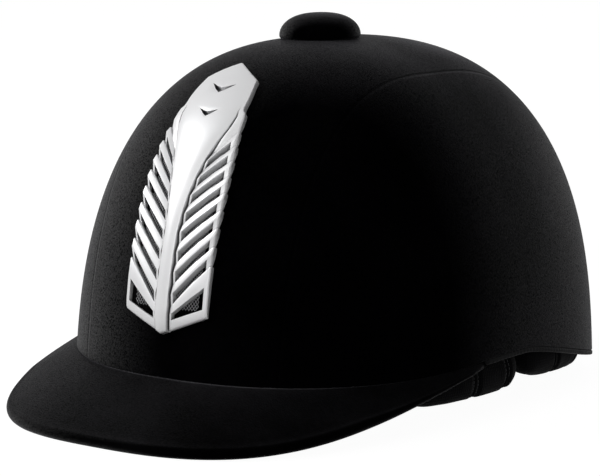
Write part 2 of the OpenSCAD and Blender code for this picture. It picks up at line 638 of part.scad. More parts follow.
// Stretches of the pads round the wall, and the seams across them
side_pad_u = [52, 93];
side_seams = [74, 87];
back_pad_u = [97, 144];
back_seams = [112, 128];
back_pad_lift = 3.5;
back_pad_drop = 4.5;
module side_pad() wall_pad(side_pad_u[0], side_pad_u[1], pad_low, pad_top,
    pad_depth, pad_depth + pad_t, 20, side_seams, 0, rack_low - pad_under, shell_in + pad_rim_gap);
module back_pad() wall_pad(back_pad_u[0], back_pad_u[1], pad_low + back_pad_lift, pad_top,
    pad_depth, pad_depth + pad_t, 20, back_seams, back_pad_drop,
    rack_low - pad_under, shell_in + pad_rim_gap);
module left_side_pad() color("#1c1c20") side_pad();
module left_back_pad() color("#1c1c20") back_pad();
module right_side_pad() color("#1c1c20") mirror([1, 0, 0]) side_pad();
module right_back_pad() color("#1c1c20") mirror([1, 0, 0]) back_pad();

// Rivets from the shell through the foam to the strap brackets
module strap_rivets() color("#8f9195") for (p = strap_places)
    let (x = wall_x(p[1], hinge_z, shell_out) - head_sink - head_t, from = bracket_x + 0.2)
    translate([0, p[1], hinge_z]) mirror([p[0] < 0 ? 1 : 0, 0, 0]) rotate([0, 90, 0]) {
        translate([0, 0, x]) cylinder(h = head_t, r = head_r, $fn = round_fn);
        translate([0, 0, from]) cylinder(h = x - from, r = rivet_r, $fn = round_fn);
    }
module strap_brackets() color("#3b3b3f") for (p = strap_places) translate([0, p[1], hinge_z])
    mirror([p[0] < 0 ? 1 : 0, 0, 0]) difference() {
        union() {
            translate([bracket_x, -eye_len / 2 - 0.4 - ear_t, -5])
                cube([bracket_t, eye_len + 0.8 + 2 * ear_t, 10]);
            for (y = [-eye_len / 2 - 0.4 - ear_t, eye_len / 2 + 0.4]) {
                translate([hinge_x, y, -ear_r]) cube([bracket_x + 0.5 - hinge_x, ear_t, 2 * ear_r]);
                translate([hinge_x, y, 0]) rotate([-90, 0, 0])
                    cylinder(h = ear_t, r = ear_r, $fn = round_fn);
            }
            translate([bracket_x + 0.5, 0, 0]) rotate([0, 90, 0])
                cylinder(h = wall_x(p[1], hinge_z, foam_in) - bracket_x - 1.9, r = 3.5, $fn = round_fn);
        }
        translate([hinge_x, 0, 0]) rotate([-90, 0, 0])
            cylinder(h = drill, r = pin_r + 0.01, center = true, $fn = round_fn);
        translate([bracket_x - 1, 0, 0]) rotate([0, 90, 0])
            cylinder(h = wall_drill, r = rivet_r + 0.02, $fn = round_fn);
    }
eye_len = webbing_w + 1;
module strap_pins() color("#a9abae") for (p = strap_places) translate([p[0] * hinge_x, p[1], hinge_z])
    rotate([90, 0, 0]) cylinder(h = eye_len + 0.8 + 2 * ear_t + 1, r = pin_r, center = true, $fn = round_fn);

// The harness folds up inside; its own frame has z along the straps
module in_harness() translate([hinge_x, 0, hinge_z]) rotate([0, -lean, 0]) children();
module eye(y, w, r) translate([0, y, 0]) rotate([90, 0, 0])
    cylinder(h = w, r = r, center = true, $fn = round_fn);
divider_low = divider_reach - 17;
divider_high = divider_reach - 5;
function leg_edge(y, side) = let (end = divider_y + sign(y) * leg_spread + side)
    [[0, y + side], [leg_straight, y + side], [divider_low - 1, end], [divider_high - 3, end]];
module side_webbing() in_harness() difference() {
    union() {
        for (y = [front_pin_y, back_pin_y]) {
            eye(y, eye_len - 1, pin_r + eye_wall);
            translate([webbing_t / 2, 0, 0]) rotate([0, -90, 0]) linear_extrude(webbing_t)
                polygon(concat(leg_edge(y, webbing_w / 2), reversed(leg_edge(y, -webbing_w / 2))));
        }
    }
    for (y = [front_pin_y, back_pin_y]) eye(y, eye_len + 4, pin_r + pin_gap);
}
module left_webbing() color("#17171a") side_webbing();
module right_webbing() color("#17171a") mirror([1, 0, 0]) side_webbing();

divider_half = webbing_w / 2 + 8.5;
module side_divider() in_harness() translate([0, divider_y, 0]) difference() {
    union() {
        translate([-divider_t / 2, -divider_half, divider_low])
            cube([divider_t, 2 * divider_half, divider_high - divider_low]);
        for (s = [-1, 1]) translate([-bar_offset - 2.2, s * (chin_w / 2 + 2.2) - 1.5, divider_high - 3])
            cube([bar_offset + 2.2 + divider_t / 2, 3, divider_reach + 2.2 - divider_high + 3]);
        translate([-bar_offset, 0, divider_reach]) eye(0, chin_w + 4, bar_r);
    }
    translate([-webbing_t / 2 - 0.3, -divider_half + 1.6, divider_low - 1])
        cube([webbing_t + 0.6, 2 * divider_half - 3.2, divider_high - divider_low - 1]);
}
module left_divider() color("#1d1d20") side_divider();
module right_divider() color("#1d1d20") mirror([1, 0, 0]) side_divider();

// The chin webbing hangs from the divider bar; its own frame has z along it
chin_bar = [hinge_x - divider_reach * sin(lean) - bar_offset * cos(lean), divider_y,
    hinge_z + divider_reach * cos(lean) - bar_offset * sin(lean)];
module in_chin() translate(chin_bar) rotate([0, 180 + chin_lean, 0]) mirror([1, 0, 0]) children();
module chin_webbing() in_chin() difference() {
    union() {
        eye(0, chin_w, bar_r + 1.7);
        translate([-webbing_t / 2, -chin_w / 2, 0]) cube([webbing_t, chin_w, chin_len]);
    }
    eye(0, chin_w + 4, bar_r + pin_gap);
}
module left_chin_webbing() color("#17171a") chin_webbing();
module right_chin_webbing() color("#17171a") mirror([1, 0, 0]) chin_webbing();

// Soft pad on the inner face of the left chin webbing
module chin_pad() color("#1c1c20") in_chin() sweep([for (i = [0:10]) let (s = i / 5 - 1,
    f = pow(1 - pow(abs(s), 4) * 0.96, 0.5)) [for (a = [0:24:359])
        [-(webbing_t / 2 + 0.3 + 3.2) + f * 3.2 * sign(cos(a)) * pow(abs(cos(a)), 0.6),
            -f * 14 * sign(sin(a)) * pow(abs(sin(a)), 0.6), chin_len / 2 - 2 + s * (chin_len / 2 - 10)]]]);

// Rounded plate outline, centred across and starting at z = 0 along the strap
module plate_outline(w, l, r) {
    translate([0, -w / 2 + r]) square([l, w - 2 * r]);
    translate([r, -w / 2]) square([l - 2 * r, w]);
    for (x = [r, l - r]) for (y = [-w / 2 + r, w / 2 - r]) translate([x, y]) circle(r, $fn = 32);
}
// Plate of thickness t in the strap frame: length along z, width along y
module strap_plate(w, l, t, r) translate([t / 2, 0, 0]) rotate([0, -90, 0])
    linear_extrude(t) plate_outline(w, l, r);

buckle_w = chin_w + 10;
socket_t = 8.6;
socket_l = 30;
prong_l = 24;
slot_t = 4.2;
module buckle_socket() color("#1d1d20") in_chin() translate([0, 0, chin_len + 0.2]) difference() {
    strap_plate(buckle_w, socket_l + 6, socket_t, 5);
    translate([-slot_t / 2 - 0.4, -buckle_w / 2 + 3, 8]) cube([slot_t + 0.8, buckle_w - 6, socket_l]);
    for (s = [-1, 1]) translate([-slot_t / 2 - 0.4, s * buckle_w / 2 - 3, 14]) cube([slot_t + 0.8, 6, 9]);
}
module buckle_plug() color("#1d1d20") mirror([1, 0, 0]) in_chin() translate([0, 0, chin_len + 0.2]) {
    strap_plate(buckle_w, 12, socket_t - 1, 4);
    for (y = [-buckle_w / 2 + 4, -1.6, buckle_w / 2 - 7.2]) translate([-slot_t / 2, y, 11])
        cube([slot_t, 3.2, prong_l - 4]);
    for (s = [-1, 1]) translate([0, s * (buckle_w / 2 - 5.6), 11 + prong_l - 7]) rotate([0, -90, 0])
        linear_extrude(slot_t, center = true)
            polygon([[0, s * 3], [3, s * 3.4], [7, s * 1.2], [7, -s * 1.6], [0, -s * 1.6]]);
}

// Three-bar slider that holds the spare chin webbing
slider_place = 22;
module strap_slider() color("#1d1d20") mirror([1, 0, 0]) in_chin()
    translate([0, 0, slider_place]) difference() {
    strap_plate(chin_w + 8, 14, 4.4, 2.5);
    translate([-webbing_t / 2 - 0.3, -chin_w / 2 - 0.4, -1]) cube([webbing_t + 0.6, chin_w + 0.8, 16]);
    for (z = [2.6, 8.6]) translate([-5, -chin_w / 2, z]) cube([5, chin_w, 2.8]);
}

velvet_cover();
outer_shell();
foam_liner();
inner_lining();
brow_pad();
rim_binding();
peak_core();
peak_cover();
peak_lining();
peak_screws();
vent_strip();
vent_mesh();
strip_clamps();
strip_screws();
button_core();
button_cover();
button_screw();
button_washer();
dial_base();
dial_lid();
lid_screws();
housing_rivets();
nape_pad();
dial_knob();
dial_pinion();
knob_screw();
left_band();
left_side_pad();
left_back_pad();
right_band();
right_side_pad();
right_back_pad();
strap_rivets();
strap_brackets();
strap_pins();
left_webbing();
left_divider();
left_chin_webbing();
chin_pad();
buckle_socket();
right_webbing();
right_divider();
right_chin_webbing();
strap_slider();
buckle_plug();
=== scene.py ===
import bpy, bmesh, math
import numpy as np
from mathutils import Vector, Matrix
from mathutils.bvhtree import BVHTree


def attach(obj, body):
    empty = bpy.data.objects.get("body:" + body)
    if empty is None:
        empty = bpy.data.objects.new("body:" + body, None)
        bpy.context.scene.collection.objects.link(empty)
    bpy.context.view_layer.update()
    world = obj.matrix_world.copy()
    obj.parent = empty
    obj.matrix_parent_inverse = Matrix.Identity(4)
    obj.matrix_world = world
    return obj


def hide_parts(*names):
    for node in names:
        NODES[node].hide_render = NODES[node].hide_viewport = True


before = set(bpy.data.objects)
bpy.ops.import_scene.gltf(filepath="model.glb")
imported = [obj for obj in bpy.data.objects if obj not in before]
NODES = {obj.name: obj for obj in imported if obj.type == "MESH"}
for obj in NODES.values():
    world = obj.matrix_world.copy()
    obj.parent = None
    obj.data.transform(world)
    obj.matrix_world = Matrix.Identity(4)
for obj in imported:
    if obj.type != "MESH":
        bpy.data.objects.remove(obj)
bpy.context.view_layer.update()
MM = 0.001
DEG = math.pi / 180

# The dome, in millimetres. A point on it has three numbers: u is the angle round it,
# from the front towards +X, phi is the angle down from the crown, and o is the depth
# inwards from the velvet's surface.
DOME_FRONT, DOME_BACK, DOME_HALF = 125.0, 135.0, 108.0
DOME_BASE, DOME_RISE = -18, 181.4

# Exponents of the outlines, at the front, the side and the back
PLAN_FRONT, PLAN_BACK = 2.27, 2.37
ROUND_OUT = (2.9, 2.24, 2.61)
ROUND_UP = (2.48, 2.74, 3.03)

# Depths of the layers, and how far the shell stands above the rim of its binding
SHELL_OUT, SHELL_IN = 1.1, 4.1
FOAM_OUT, FOAM_IN = 4.7, 22.7
LINING_OUT, LINING_IN = 23.3, 26.1
RIM_TAPE = 2.4

# The rim's height at the sides, its fall to the front, and where the peak ends
RIM_SIDE, RIM_FALL = 26.6, 16.6
PEAK_U = 74.631 * DEG
CREASE_Z = 22.4

def blend(u, front, side, back):
    """A value that changes round the dome, given at its front, its sides and its back."""
    c = np.cos(u)
    return np.where(c > 0, side + (front - side) * c * c, side + (back - side) * c * c)

def plan_r(u, o):
    """Distance from the dome's axis in plan, at its widest height."""
    front = np.cos(u) > 0
    reach = np.where(front, DOME_FRONT, DOME_BACK) - o
    k = np.where(front, PLAN_FRONT, PLAN_BACK)
    return (np.abs(np.sin(u) / (DOME_HALF - o)) ** k + np.abs(np.cos(u) / reach) ** k) ** (-1 / k)

def dome(u, phi, o):
    u, phi, o = np.broadcast_arrays(np.asarray(u, float), phi, o)
    n, m = blend(u, *ROUND_OUT), blend(u, *ROUND_UP)
    r = plan_r(u, o) * np.clip(np.sin(phi), 0, 1) ** (2 / n)
    z = DOME_BASE + (DOME_RISE - o) * np.clip(np.cos(phi), 0, 1) ** (2 / m)
    return np.stack([r * np.sin(u), -r * np.cos(u), z], -1)

def phi_at(u, z, o):
    """The angle down from the crown at a height."""
    rise = np.clip((z - DOME_BASE) / (DOME_RISE - o), 0, 1)
    return np.arccos(rise ** (blend(u, *ROUND_UP) / 2))

def wall(u, z, o):
    """The point of the dome at a height."""
    return dome(u, phi_at(u, z, o), o)

def side_u(u):
    """The angle from the front on either side, from 0 to pi."""
    return np.abs((u + math.pi) % (2 * math.pi) - math.pi)

def rim_z(u):
    c = np.cos(u)
    return np.where(c > 0, RIM_SIDE - RIM_FALL * c * c, RIM_SIDE * (1 - np.clip(-c, 0, 1) ** 1.35))

def crease(u):
    """Height of the seam between the dome and the peak."""
    return CREASE_Z + (rim_z(PEAK_U) + RIM_TAPE - CREASE_Z) * (side_u(u) / PEAK_U) ** 4

def velvet_low(u):
    return np.where(side_u(u) < PEAK_U, crease(u) + 0.1, rim_z(u) + RIM_TAPE)

def shell_low(u):
    return rim_z(u) + RIM_TAPE

def foam_low(u):
    s = side_u(u)
    return np.where(s > math.pi / 4, 40.0, 40 - 16 * np.cos(2 * s) ** 2)

def lining_low(u):
    return 54 + 0 * u

def smooth(t):
    """A soft step from 0 to 1."""
    t = np.clip(t, 0, 1)
    return t * t * (3 - 2 * t)

# Mesh helpers

def shade_smooth(me):
    for p in me.polygons:
        p.use_smooth = True

def face_outwards(me):
    bm = bmesh.new()
    bm.from_mesh(me)
    bmesh.ops.recalc_face_normals(bm, faces=bm.faces)
    bm.to_mesh(me)
    bm.free()

def apply(ob):
    """Turns the object's modifiers into its mesh."""
    bpy.context.view_layer.update()
    graph = bpy.context.evaluated_depsgraph_get()
    me = bpy.data.meshes.new_from_object(ob.evaluated_get(graph))
    ob.modifiers.clear()
    ob.data = me

def make(name, verts, faces, body, material, replaces=(), sharp=None):
    """A piece from points in millimetres. Edges over the angle sharp stay sharp."""
    me = bpy.data.meshes.new(name)
    me.from_pydata((np.asarray(verts) * MM).tolist(), [], faces)
    me.validate()
    me.update()
    ob = bpy.data.objects.new(name, me)
    bpy.context.scene.collection.objects.link(ob)
    me.materials.append(material)
    shade_smooth(me)
    if sharp:
        me.set_sharp_from_angle(angle=sharp * DEG)
    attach(ob, body)
    if replaces:
        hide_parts(*replaces)
    return ob

def ring_grid(P, wrap_u=True, wrap_v=False, keep=None):
    """Faces of a grid of points: rows run down, columns run to the right seen from outside."""
    R, C = P.shape[0], P.shape[1]
    faces = []
    for i in range(R if wrap_v else R - 1):
        for j in range(C if wrap_u else C - 1):
            if keep is not None and not keep(i, j):
                continue
            a, b = i * C + j, i * C + (j + 1) % C
            c, d = ((i + 1) % R) * C + (j + 1) % C, ((i + 1) % R) * C + j
            faces.append((a, d, c, b))
    return faces

def sheet(P, Q, keep):
    """Closed skin between two grids, open where keep is false."""
    R, n = P.shape[0] - 1, P.shape[1]
    k = (R + 1) * n
    on = np.array([[keep(i, j) for j in range(n - 1)] for i in range(R)])
    def is_on(i, j):
        return 0 <= i < R and 0 <= j < n - 1 and on[i, j]
    def v(s, i, j):
        return s * k + i * n + j
    F = []
    for i in range(R):
        for j in range(n - 1):
            if not on[i, j]:
                continue
            F.append((v(0, i, j), v(0, i + 1, j), v(0, i + 1, j + 1), v(0, i, j + 1)))
            F.append((v(1, i, j), v(1, i, j + 1), v(1, i + 1, j + 1), v(1, i + 1, j)))
            if not is_on(i + 1, j):
                F.append((v(0, i + 1, j), v(1, i + 1, j), v(1, i + 1, j + 1), v(0, i + 1, j + 1)))
            if not is_on(i - 1, j):
                F.append((v(0, i, j + 1), v(1, i, j + 1), v(1, i, j), v(0, i, j)))
            if not is_on(i, j + 1):
                F.append((v(0, i + 1, j + 1), v(1, i + 1, j + 1), v(1, i, j + 1), v(0, i, j + 1)))
            if not is_on(i, j - 1):
                F.append((v(0, i, j), v(1, i, j), v(1, i + 1, j), v(0, i + 1, j)))
    return np.concatenate([P.reshape(-1, 3), Q.reshape(-1, 3)]), F

def tube_faces(steps, around):
    """Faces of a tube of rings, closed at both ends."""
    F = []
    for i in range(0, steps * around, around):
        for j in range(around):
            k = (j + 1) % around
            F.append((i + j, i + around + j, i + around + k, i + k))
    return F + [tuple(range(around)), tuple(steps * around + j for j in reversed(range(around)))]

def merge(parts):
    V, F = [], []
    for v, f in parts:
        n = sum(len(x) for x in V)
        V.append(v)
        F += [tuple(i + n for i in q) for q in f]
    return np.concatenate(V), F

def clean(V, F):
    """Drops the points that no face uses."""
    used = sorted({i for f in F for i in f})
    at = {i: n for n, i in enumerate(used)}
    return V[used], [tuple(at[i] for i in f) for f in F]

# Materials

class Graph:
    """A material, with short ways to add nodes to it."""
    def __init__(self, name):
        self.m = bpy.data.materials.new(name)
        self.m.use_nodes = True
        self.t = self.m.node_tree
        self.b = self.t.nodes["Principled BSDF"]
        self.coord = self.t.nodes.new("ShaderNodeTexCoord").outputs["Object"]
    def feed(self, socket, value):
        if isinstance(value, bpy.types.NodeSocket):
            self.t.links.new(value, socket)
        else:
            socket.default_value = value
    def node(self, kind, ins=None, **props):
        n = self.t.nodes.new(kind)
        for k, v in props.items():
            setattr(n, k, v)
        for k, v in (ins or {}).items():
            self.feed(n.inputs[k], v)
        return n
    def noise(self, scale, detail=2, rough=0.5, vec=None):
        return self.node("ShaderNodeTexNoise", {"Vector": vec or self.coord, "Scale": scale, "Detail": detail,
            "Roughness": rough}).outputs["Fac"]
    def math(self, op, a, b=0.0):
        n = self.node("ShaderNodeMath", operation=op)
        for s, v in zip(n.inputs, (a, b)):
            self.feed(s, v)
        return n.outputs[0]
    def times(self, a, b):
        return self.math("MULTIPLY", a, b)
    def most(self, a, b):
        return self.math("MAXIMUM", a, b)
    def span(self, fac, a, b, lo=0.0, hi=1.0):
        """Maps fac from lo to hi on to a to b."""
        return self.node("ShaderNodeMapRange", {"Value": fac, "From Min": lo, "From Max": hi,
            "To Min": a, "To Max": b}).outputs["Result"]
    def ramp(self, fac, *stops):
        n = self.node("ShaderNodeValToRGB", {"Fac": fac})
        e = n.color_ramp.elements
        while len(e) < len(stops):
            e.new(0.5)
        for x, (pos, col) in zip(e, stops):
            x.position = pos
            x.color = (*col, 1)
        return n.outputs["Color"]
    def mix(self, fac, a, b):
        n = self.node("ShaderNodeMix", data_type="RGBA")
        for s, v in ((n.inputs[0], fac), (n.inputs[6], (*a, 1)), (n.inputs[7], (*b, 1))):
            self.feed(s, v)
        return n.outputs[2]
    def bump(self, height, strength, distance):
        prev = self.b.inputs["Normal"].links
        n = self.node("ShaderNodeBump", {"Height": height, "Strength": strength, "Distance": distance})
        if prev:
            self.t.links.new(prev[0].from_socket, n.inputs["Normal"])
        self.t.links.new(n.outputs[0], self.b.inputs["Normal"])
    def set(self, **kw):
        for k, v in kw.items():
            self.feed(self.b.inputs[k.replace("_", " ")], v)

SEAM_X = 0.054

def velvet(name, dark, pale, pile, gloss, painted_side_shine_x, seams=False):
    """pile is the sheen, gloss the shine seen aslant, and the last argument a painted highlight: how much the
    shine is scaled from side to side by the world normal's X, stronger on the side towards the key lamp.
    """
    g = Graph(name)
    nap = g.noise(22, 3, 0.55)
    fine = g.noise(420, 3, 0.7)
    grain = g.noise(1500, 2, 0.6)
    tone = g.math("ADD", g.times(nap, 0.55), g.times(fine, 0.45))
    # The pile shines only where it is seen aslant. Its shine is also scaled by the world normal as a painted
    # highlight: stronger on faces towards -X and on upright faces, weaker on faces turned up, to fit how the
    # lamps fall.
    slant = g.node("ShaderNodeLayerWeight", {"Blend": 0.5}).outputs["Facing"]
    normal = g.node("ShaderNodeNewGeometry").outputs["Normal"]
    way = g.node("ShaderNodeSeparateXYZ", {"Vector": normal}).outputs
    # painted highlight: shine set by which way the face points in the world, not by the pile
    painted_side_shine = g.times(g.span(way["Z"], 1.0, 0.28, 0.3, 0.9), g.span(way["X"], *painted_side_shine_x))
    shine = g.times(g.times(g.span(slant, 0.0, gloss, 0.24, 0.6), painted_side_shine), g.span(grain, 0.0, 2.1, 0.35, 0.65))
    g.set(Base_Color=g.ramp(tone, (0.36, dark), (0.66, pale)), Roughness=g.span(fine, 0.54, 0.64),
        Specular_IOR_Level=shine, Sheen_Weight=g.span(tone, pile * 0.6, pile * 1.35, 0.35, 0.65),
        Sheen_Roughness=g.span(nap, 0.3, 0.42), Sheen_Tint=(0.93, 0.91, 1.0, 1))
    g.bump(fine, 0.1, 0.0004)
    g.bump(grain, 0.7, 0.0002)
    if seams:
        # Two seams run from front to back beside the middle panel
        x = g.node("ShaderNodeSeparateXYZ", {"Vector": g.coord}).outputs["X"]
        away = g.math("ABSOLUTE", g.math("SUBTRACT", g.math("ABSOLUTE", x), SEAM_X))
        g.bump(g.span(away, 0.0, 1.0, 0.0, 0.0011), 0.3, 0.0012)
    return g.m

def scaled(colour, k):
    return tuple(min(1.0, c * k) for c in colour)

def cloth(name, base, threads, sheen, rough=0.85):
    """Woven cloth: bands along each axis cross in a weave."""
    g = Graph(name)
    x, y, z = (g.node("ShaderNodeTexWave", {"Vector": g.coord, "Scale": threads * 0.05, "Distortion": 1.2,
        "Detail": 1.0}, wave_type="BANDS", bands_direction=d).outputs["Fac"] for d in "XYZ")
    weave = g.most(g.times(x, y), g.most(g.times(y, z), g.times(x, z)))
    blot = g.noise(35, 3)
    tone = g.math("ADD", g.times(weave, 0.6), g.times(blot, 0.4))
    g.set(Base_Color=g.mix(tone, scaled(base, 0.55), scaled(base, 1.5)),
        Roughness=g.span(blot, rough - 0.08, rough + 0.06), Specular_IOR_Level=0.03, Sheen_Weight=sheen,
        Sheen_Roughness=0.5)
    g.bump(weave, 0.5, 0.0003)
    g.bump(g.noise(60, 4), 0.25, 0.0012)
    return g.m

def plastic(name, base, rough):
    g = Graph(name)
    spark = g.noise(700, 3, 0.6)
    wear = g.noise(25, 4, 0.6)
    g.set(Base_Color=g.mix(wear, scaled(base, 0.88), scaled(base, 1.1)),
        Roughness=g.span(wear, rough - 0.06, rough + 0.1))
    g.bump(spark, 0.35, 0.00012)
    return g.m

def steel(name):
    g = Graph(name)
    long_way = g.node("ShaderNodeMapping", {"Vector": g.coord, "Scale": (1, 1, 18)}).outputs[0]
    scratch = g.noise(260, 3, 0.6, vec=long_way)
    g.set(Base_Color=g.mix(scratch, (0.42, 0.42, 0.44), (0.62, 0.62, 0.64)), Metallic=1.0,
        Roughness=g.span(scratch, 0.26, 0.42))
    g.bump(scratch, 0.15, 0.0001)
    return g.m

def foam_bead(name, base):
    g = Graph(name)
    cell = g.node("ShaderNodeTexVoronoi", {"Vector": g.coord, "Scale": 330.0},
        feature="DISTANCE_TO_EDGE").outputs["Distance"]
    g.set(Base_Color=g.mix(g.span(cell, 0, 1, 0, 0.3), scaled(base, 0.6), base), Roughness=0.78)
    g.bump(g.span(cell, 0, 1, 0, 0.35), 0.6, 0.0006)
    return g.m

def silver(name):
    g = Graph(name)
    soft, grain = g.noise(60, 3), g.noise(2600, 2)
    # painted shade: the base colour darkens in slots and grooves by ambient occlusion
    crevice_shade_ao = g.node("ShaderNodeAmbientOcclusion", {"Distance": 0.0022}, samples=8, only_local=True)
    shade = g.ramp(crevice_shade_ao.outputs["AO"], (0.42, (0.05, 0.05, 0.055)), (0.84, (0.80, 0.80, 0.81)))
    g.set(Base_Color=shade, Metallic=0.3, Roughness=g.span(soft, 0.34, 0.44), Coat_Weight=0.1,
        Coat_Roughness=0.2)
    g.bump(grain, 0.12, 0.00008)
    return g.m

def wire(name):
    g = Graph(name)
    n = g.noise(900, 2)
    g.set(Base_Color=g.mix(n, (0.12, 0.12, 0.125), (0.26, 0.26, 0.27)), Roughness=g.span(n, 0.35, 0.5),
        Metallic=0.4)
    g.bump(n, 0.2, 0.0001)
    return g.m

M = {
    # the last tuple of each velvet is its painted side highlight, a span over the world normal's X
    "velvet": velvet("velvet_black", (0.0002, 0.0002, 0.0003), (0.0008, 0.0007, 0.001), 0.08, 0.1,
        (1.7, 0.34, -0.6, 0.7), seams=True),
    "peak_velvet": velvet("velvet_peak", (0.0003, 0.0003, 0.0003), (0.0012, 0.0011, 0.0013), 0.1, 0.03,
        (3.2, 0.65, -0.15, 0.25)),
    "shell": plastic("shell_plastic", (0.022, 0.022, 0.024), 0.38),
    "foam": foam_bead("foam_beads", (0.05, 0.05, 0.053)),
    "lining": cloth("lining_knit", (0.014, 0.014, 0.017), 4200, 0.25),
    "pad": cloth("pad_fabric", (0.0028, 0.0028, 0.0033), 5200, 0.04),
    "under": cloth("peak_under", (0.004, 0.004, 0.0045), 5600, 0.04),
    "binding": cloth("binding_tape", (0.0035, 0.0035, 0.004), 2400, 0.06, rough=0.7),
    "silver": silver("silver_plastic"),
    "mesh": wire("mesh_wire"),
    "black": plastic("black_plastic", (0.016, 0.016, 0.017), 0.4),
    "white": plastic("white_plastic", (0.62, 0.61, 0.57), 0.35),
    "steel": steel("screw_steel"),
    "webbing": cloth("webbing_weave", (0.009, 0.009, 0.010), 6000, 0.12, rough=0.75),
    "thread": cloth("thread", (0.09, 0.09, 0.095), 3000, 0.2, rough=0.6),
}

# Layers of the dome

def layer(name, o_out, o_in, low, node, material, lip, window=None, cols=360, rows=110, shape=None):
    """A shell between two depths with a rounded lower lip, closed over the crown on both faces.

    window is the half width and the lowest and highest z of a hole in the front.
    """
    u = np.arange(cols) * 2 * math.pi / cols
    lo = low(u)
    t = np.linspace(0.0, 1.0, rows + 1)[:, None]
    def face(o, drop):
        return dome(u[None, :], phi_at(u, lo + drop, o)[None, :] * t, o)
    outer, inner = face(o_out, lip), face(o_in, lip)
    edge = []
    mid, half = (o_out + o_in) / 2, (o_in - o_out) / 2
    for a in np.linspace(0, math.pi, 9)[1:-1]:
        o = mid - half * math.copysign(abs(math.cos(a)) ** 0.6, math.cos(a))
        edge.append(wall(u, lo + lip - lip * abs(math.sin(a)) ** 0.6, o))
    P = np.concatenate([outer, np.array(edge), inner[::-1]])
    if shape is not None:
        P = shape(P, u)
    def keep(i, j):
        if window is None:
            return True
        half_x, z_low, z_high = window
        c = (P[i, j] + P[i + 1, (j + 1) % cols]) / 2
        return not (c[1] < 0 and abs(c[0]) < half_x and z_low < c[2] < z_high)
    return make(name, P.reshape(-1, 3), ring_grid(P, keep=keep), "helmet", M[material], [node])

layer("velvet_dome", 0.0, 0.9, velvet_low, "velvet_cover", "velvet",
    window=(12.6, 61, 136), lip=0.5)
layer("shell_wall", SHELL_OUT, SHELL_IN, shell_low, "outer_shell", "shell",
    window=(12.6, 54, 134), lip=0.3, cols=240, rows=70)
layer("foam_wall", FOAM_OUT, FOAM_IN, foam_low, "foam_liner", "foam",
    window=(22, 47, 142), lip=2.5, cols=240, rows=60)

def quilt(P, u):
    """Puffs of the inner lining between two families of sewn lines."""
    R = P.shape[0]
    i = np.arange(R)[:, None] / (R - 1) * 2
    depth = np.where(i > 1, 2 - i, i)
    a, b = np.cos(u[None, :] * 6 + depth * 9), np.cos(u[None, :] * 6 - depth * 9)
    h = 1.1 * (1 - np.exp(-(a * b) ** 2 * 9)) * smooth(depth * 6) * smooth((1 - depth) * 14) * (i > 1)
    c = P - np.array([0, 5, 40])
    return P - h[..., None] * c / np.linalg.norm(c, axis=-1, keepdims=True)

lining = layer("lining_quilt", LINING_OUT, LINING_IN, lining_low, "inner_lining",
    "lining", lip=1.3, cols=300, rows=90, shape=quilt)

# Edge binding, a folded tape round the shell's lower edge

TAPE_HALF = 1.17

def binding():
    cols = 480
    u = np.arange(cols) * 2 * math.pi / cols
    # Behind the peak's ends the tape covers the velvet's edge. Under the peak it stays inside.
    k = 0.5 + 0.5 * np.tanh((side_u(u) - PEAK_U + 1.1 * DEG) / (0.4 * DEG))
    out = (SHELL_OUT + 0.05) * (1 - k) - 0.15 * k
    mid, half = (out + SHELL_IN + 0.2) / 2, (SHELL_IN + 0.2 - out) / 2
    P = []
    for a in np.linspace(0, 2 * math.pi, 21)[:-1]:
        c, s = math.cos(a), math.sin(a)
        o = mid - half * math.copysign(abs(c) ** 0.45, c)
        P.append(wall(u, rim_z(u) + TAPE_HALF + TAPE_HALF * math.copysign(abs(s) ** 0.55, s), o))
    P = np.array(P[::-1])
    make("rim_tape", P.reshape(-1, 3), ring_grid(P, wrap_v=True), "helmet", M["binding"],
        ["rim_binding"])

binding()

# Peak: sections at an angle v along its edge

PEAK_HALF, PEAK_ROOT_Y, PEAK_REACH, PEAK_LIFT = 107.6, 9.1, 179, 28.5
PEAK_END = 83
PEAK_ROUND = 2 / 2.74
EDGE_ROLL = 2.6

def peak_edge(v):
    x = PEAK_HALF * np.sign(v) * np.abs(np.sin(v)) ** PEAK_ROUND
    y = PEAK_ROOT_Y - PEAK_REACH * np.cos(v) ** PEAK_ROUND
    w = (y - (PEAK_ROOT_Y - PEAK_REACH)) / PEAK_REACH
    return x, y, PEAK_LIFT * w * w * (3 - 2 * w)

def peak_line(v, d, ts, part):
    """Points of the section at v, inset by d, along its top, its rolled nose or its underside."""
    x, y, edge_z = peak_edge(v)
    u, far = math.atan2(x, -y), math.hypot(x, y)
    top_z, low_z = float(crease(u)), float(rim_z(u)) + 0.1
    def shell_r(z):
        return float(np.hypot(*wall(np.array(u), z, SHELL_OUT)[:2]))
    top_r, low_r = shell_r(top_z) + 0.3, shell_r(low_z) + 0.3
    roll = min(EDGE_ROLL, (far - top_r) / 3, (top_z - low_z) / 2.1)
    inner_roll = max(roll - d, 0.05)
    # the ends of the peak run out into the wall
    fade = 0.04 + 0.96 * max(0.0, min(1.0, (PEAK_END - abs(v) / DEG) / 3.2)) ** 0.5
    P = []
    for t in ts:
        if part == "top":
            r = top_r + (far - roll - top_r) * t
            z = top_z + (edge_z + 2 * roll - top_z) * t ** 1.15 - d
        elif part == "nose":
            a = (80 - 170 * t) * DEG
            r, z = far - roll + inner_roll * math.cos(a), edge_z + roll + inner_roll * math.sin(a)
        else:
            r, z = low_r + (far - roll - low_r) * (1 - t), low_z + (edge_z - low_z) * (1 - t) + d
        near = shell_r(z) + 0.15
        r = near + (r - near) * fade
        P.append((r * math.sin(u), -r * math.cos(u), z))
    return P

def peak_piece(name, sections, material, node):
    """A closed piece through its sections."""
    P = np.array(sections).transpose(1, 0, 2)
    R, C = P.shape[:2]
    F = ring_grid(P, wrap_u=False, wrap_v=True)
    F += [tuple(i * C for i in range(R)), tuple(i * C + C - 1 for i in reversed(range(R)))]
    make(name, P.reshape(-1, 3), F, "helmet", material, [node])

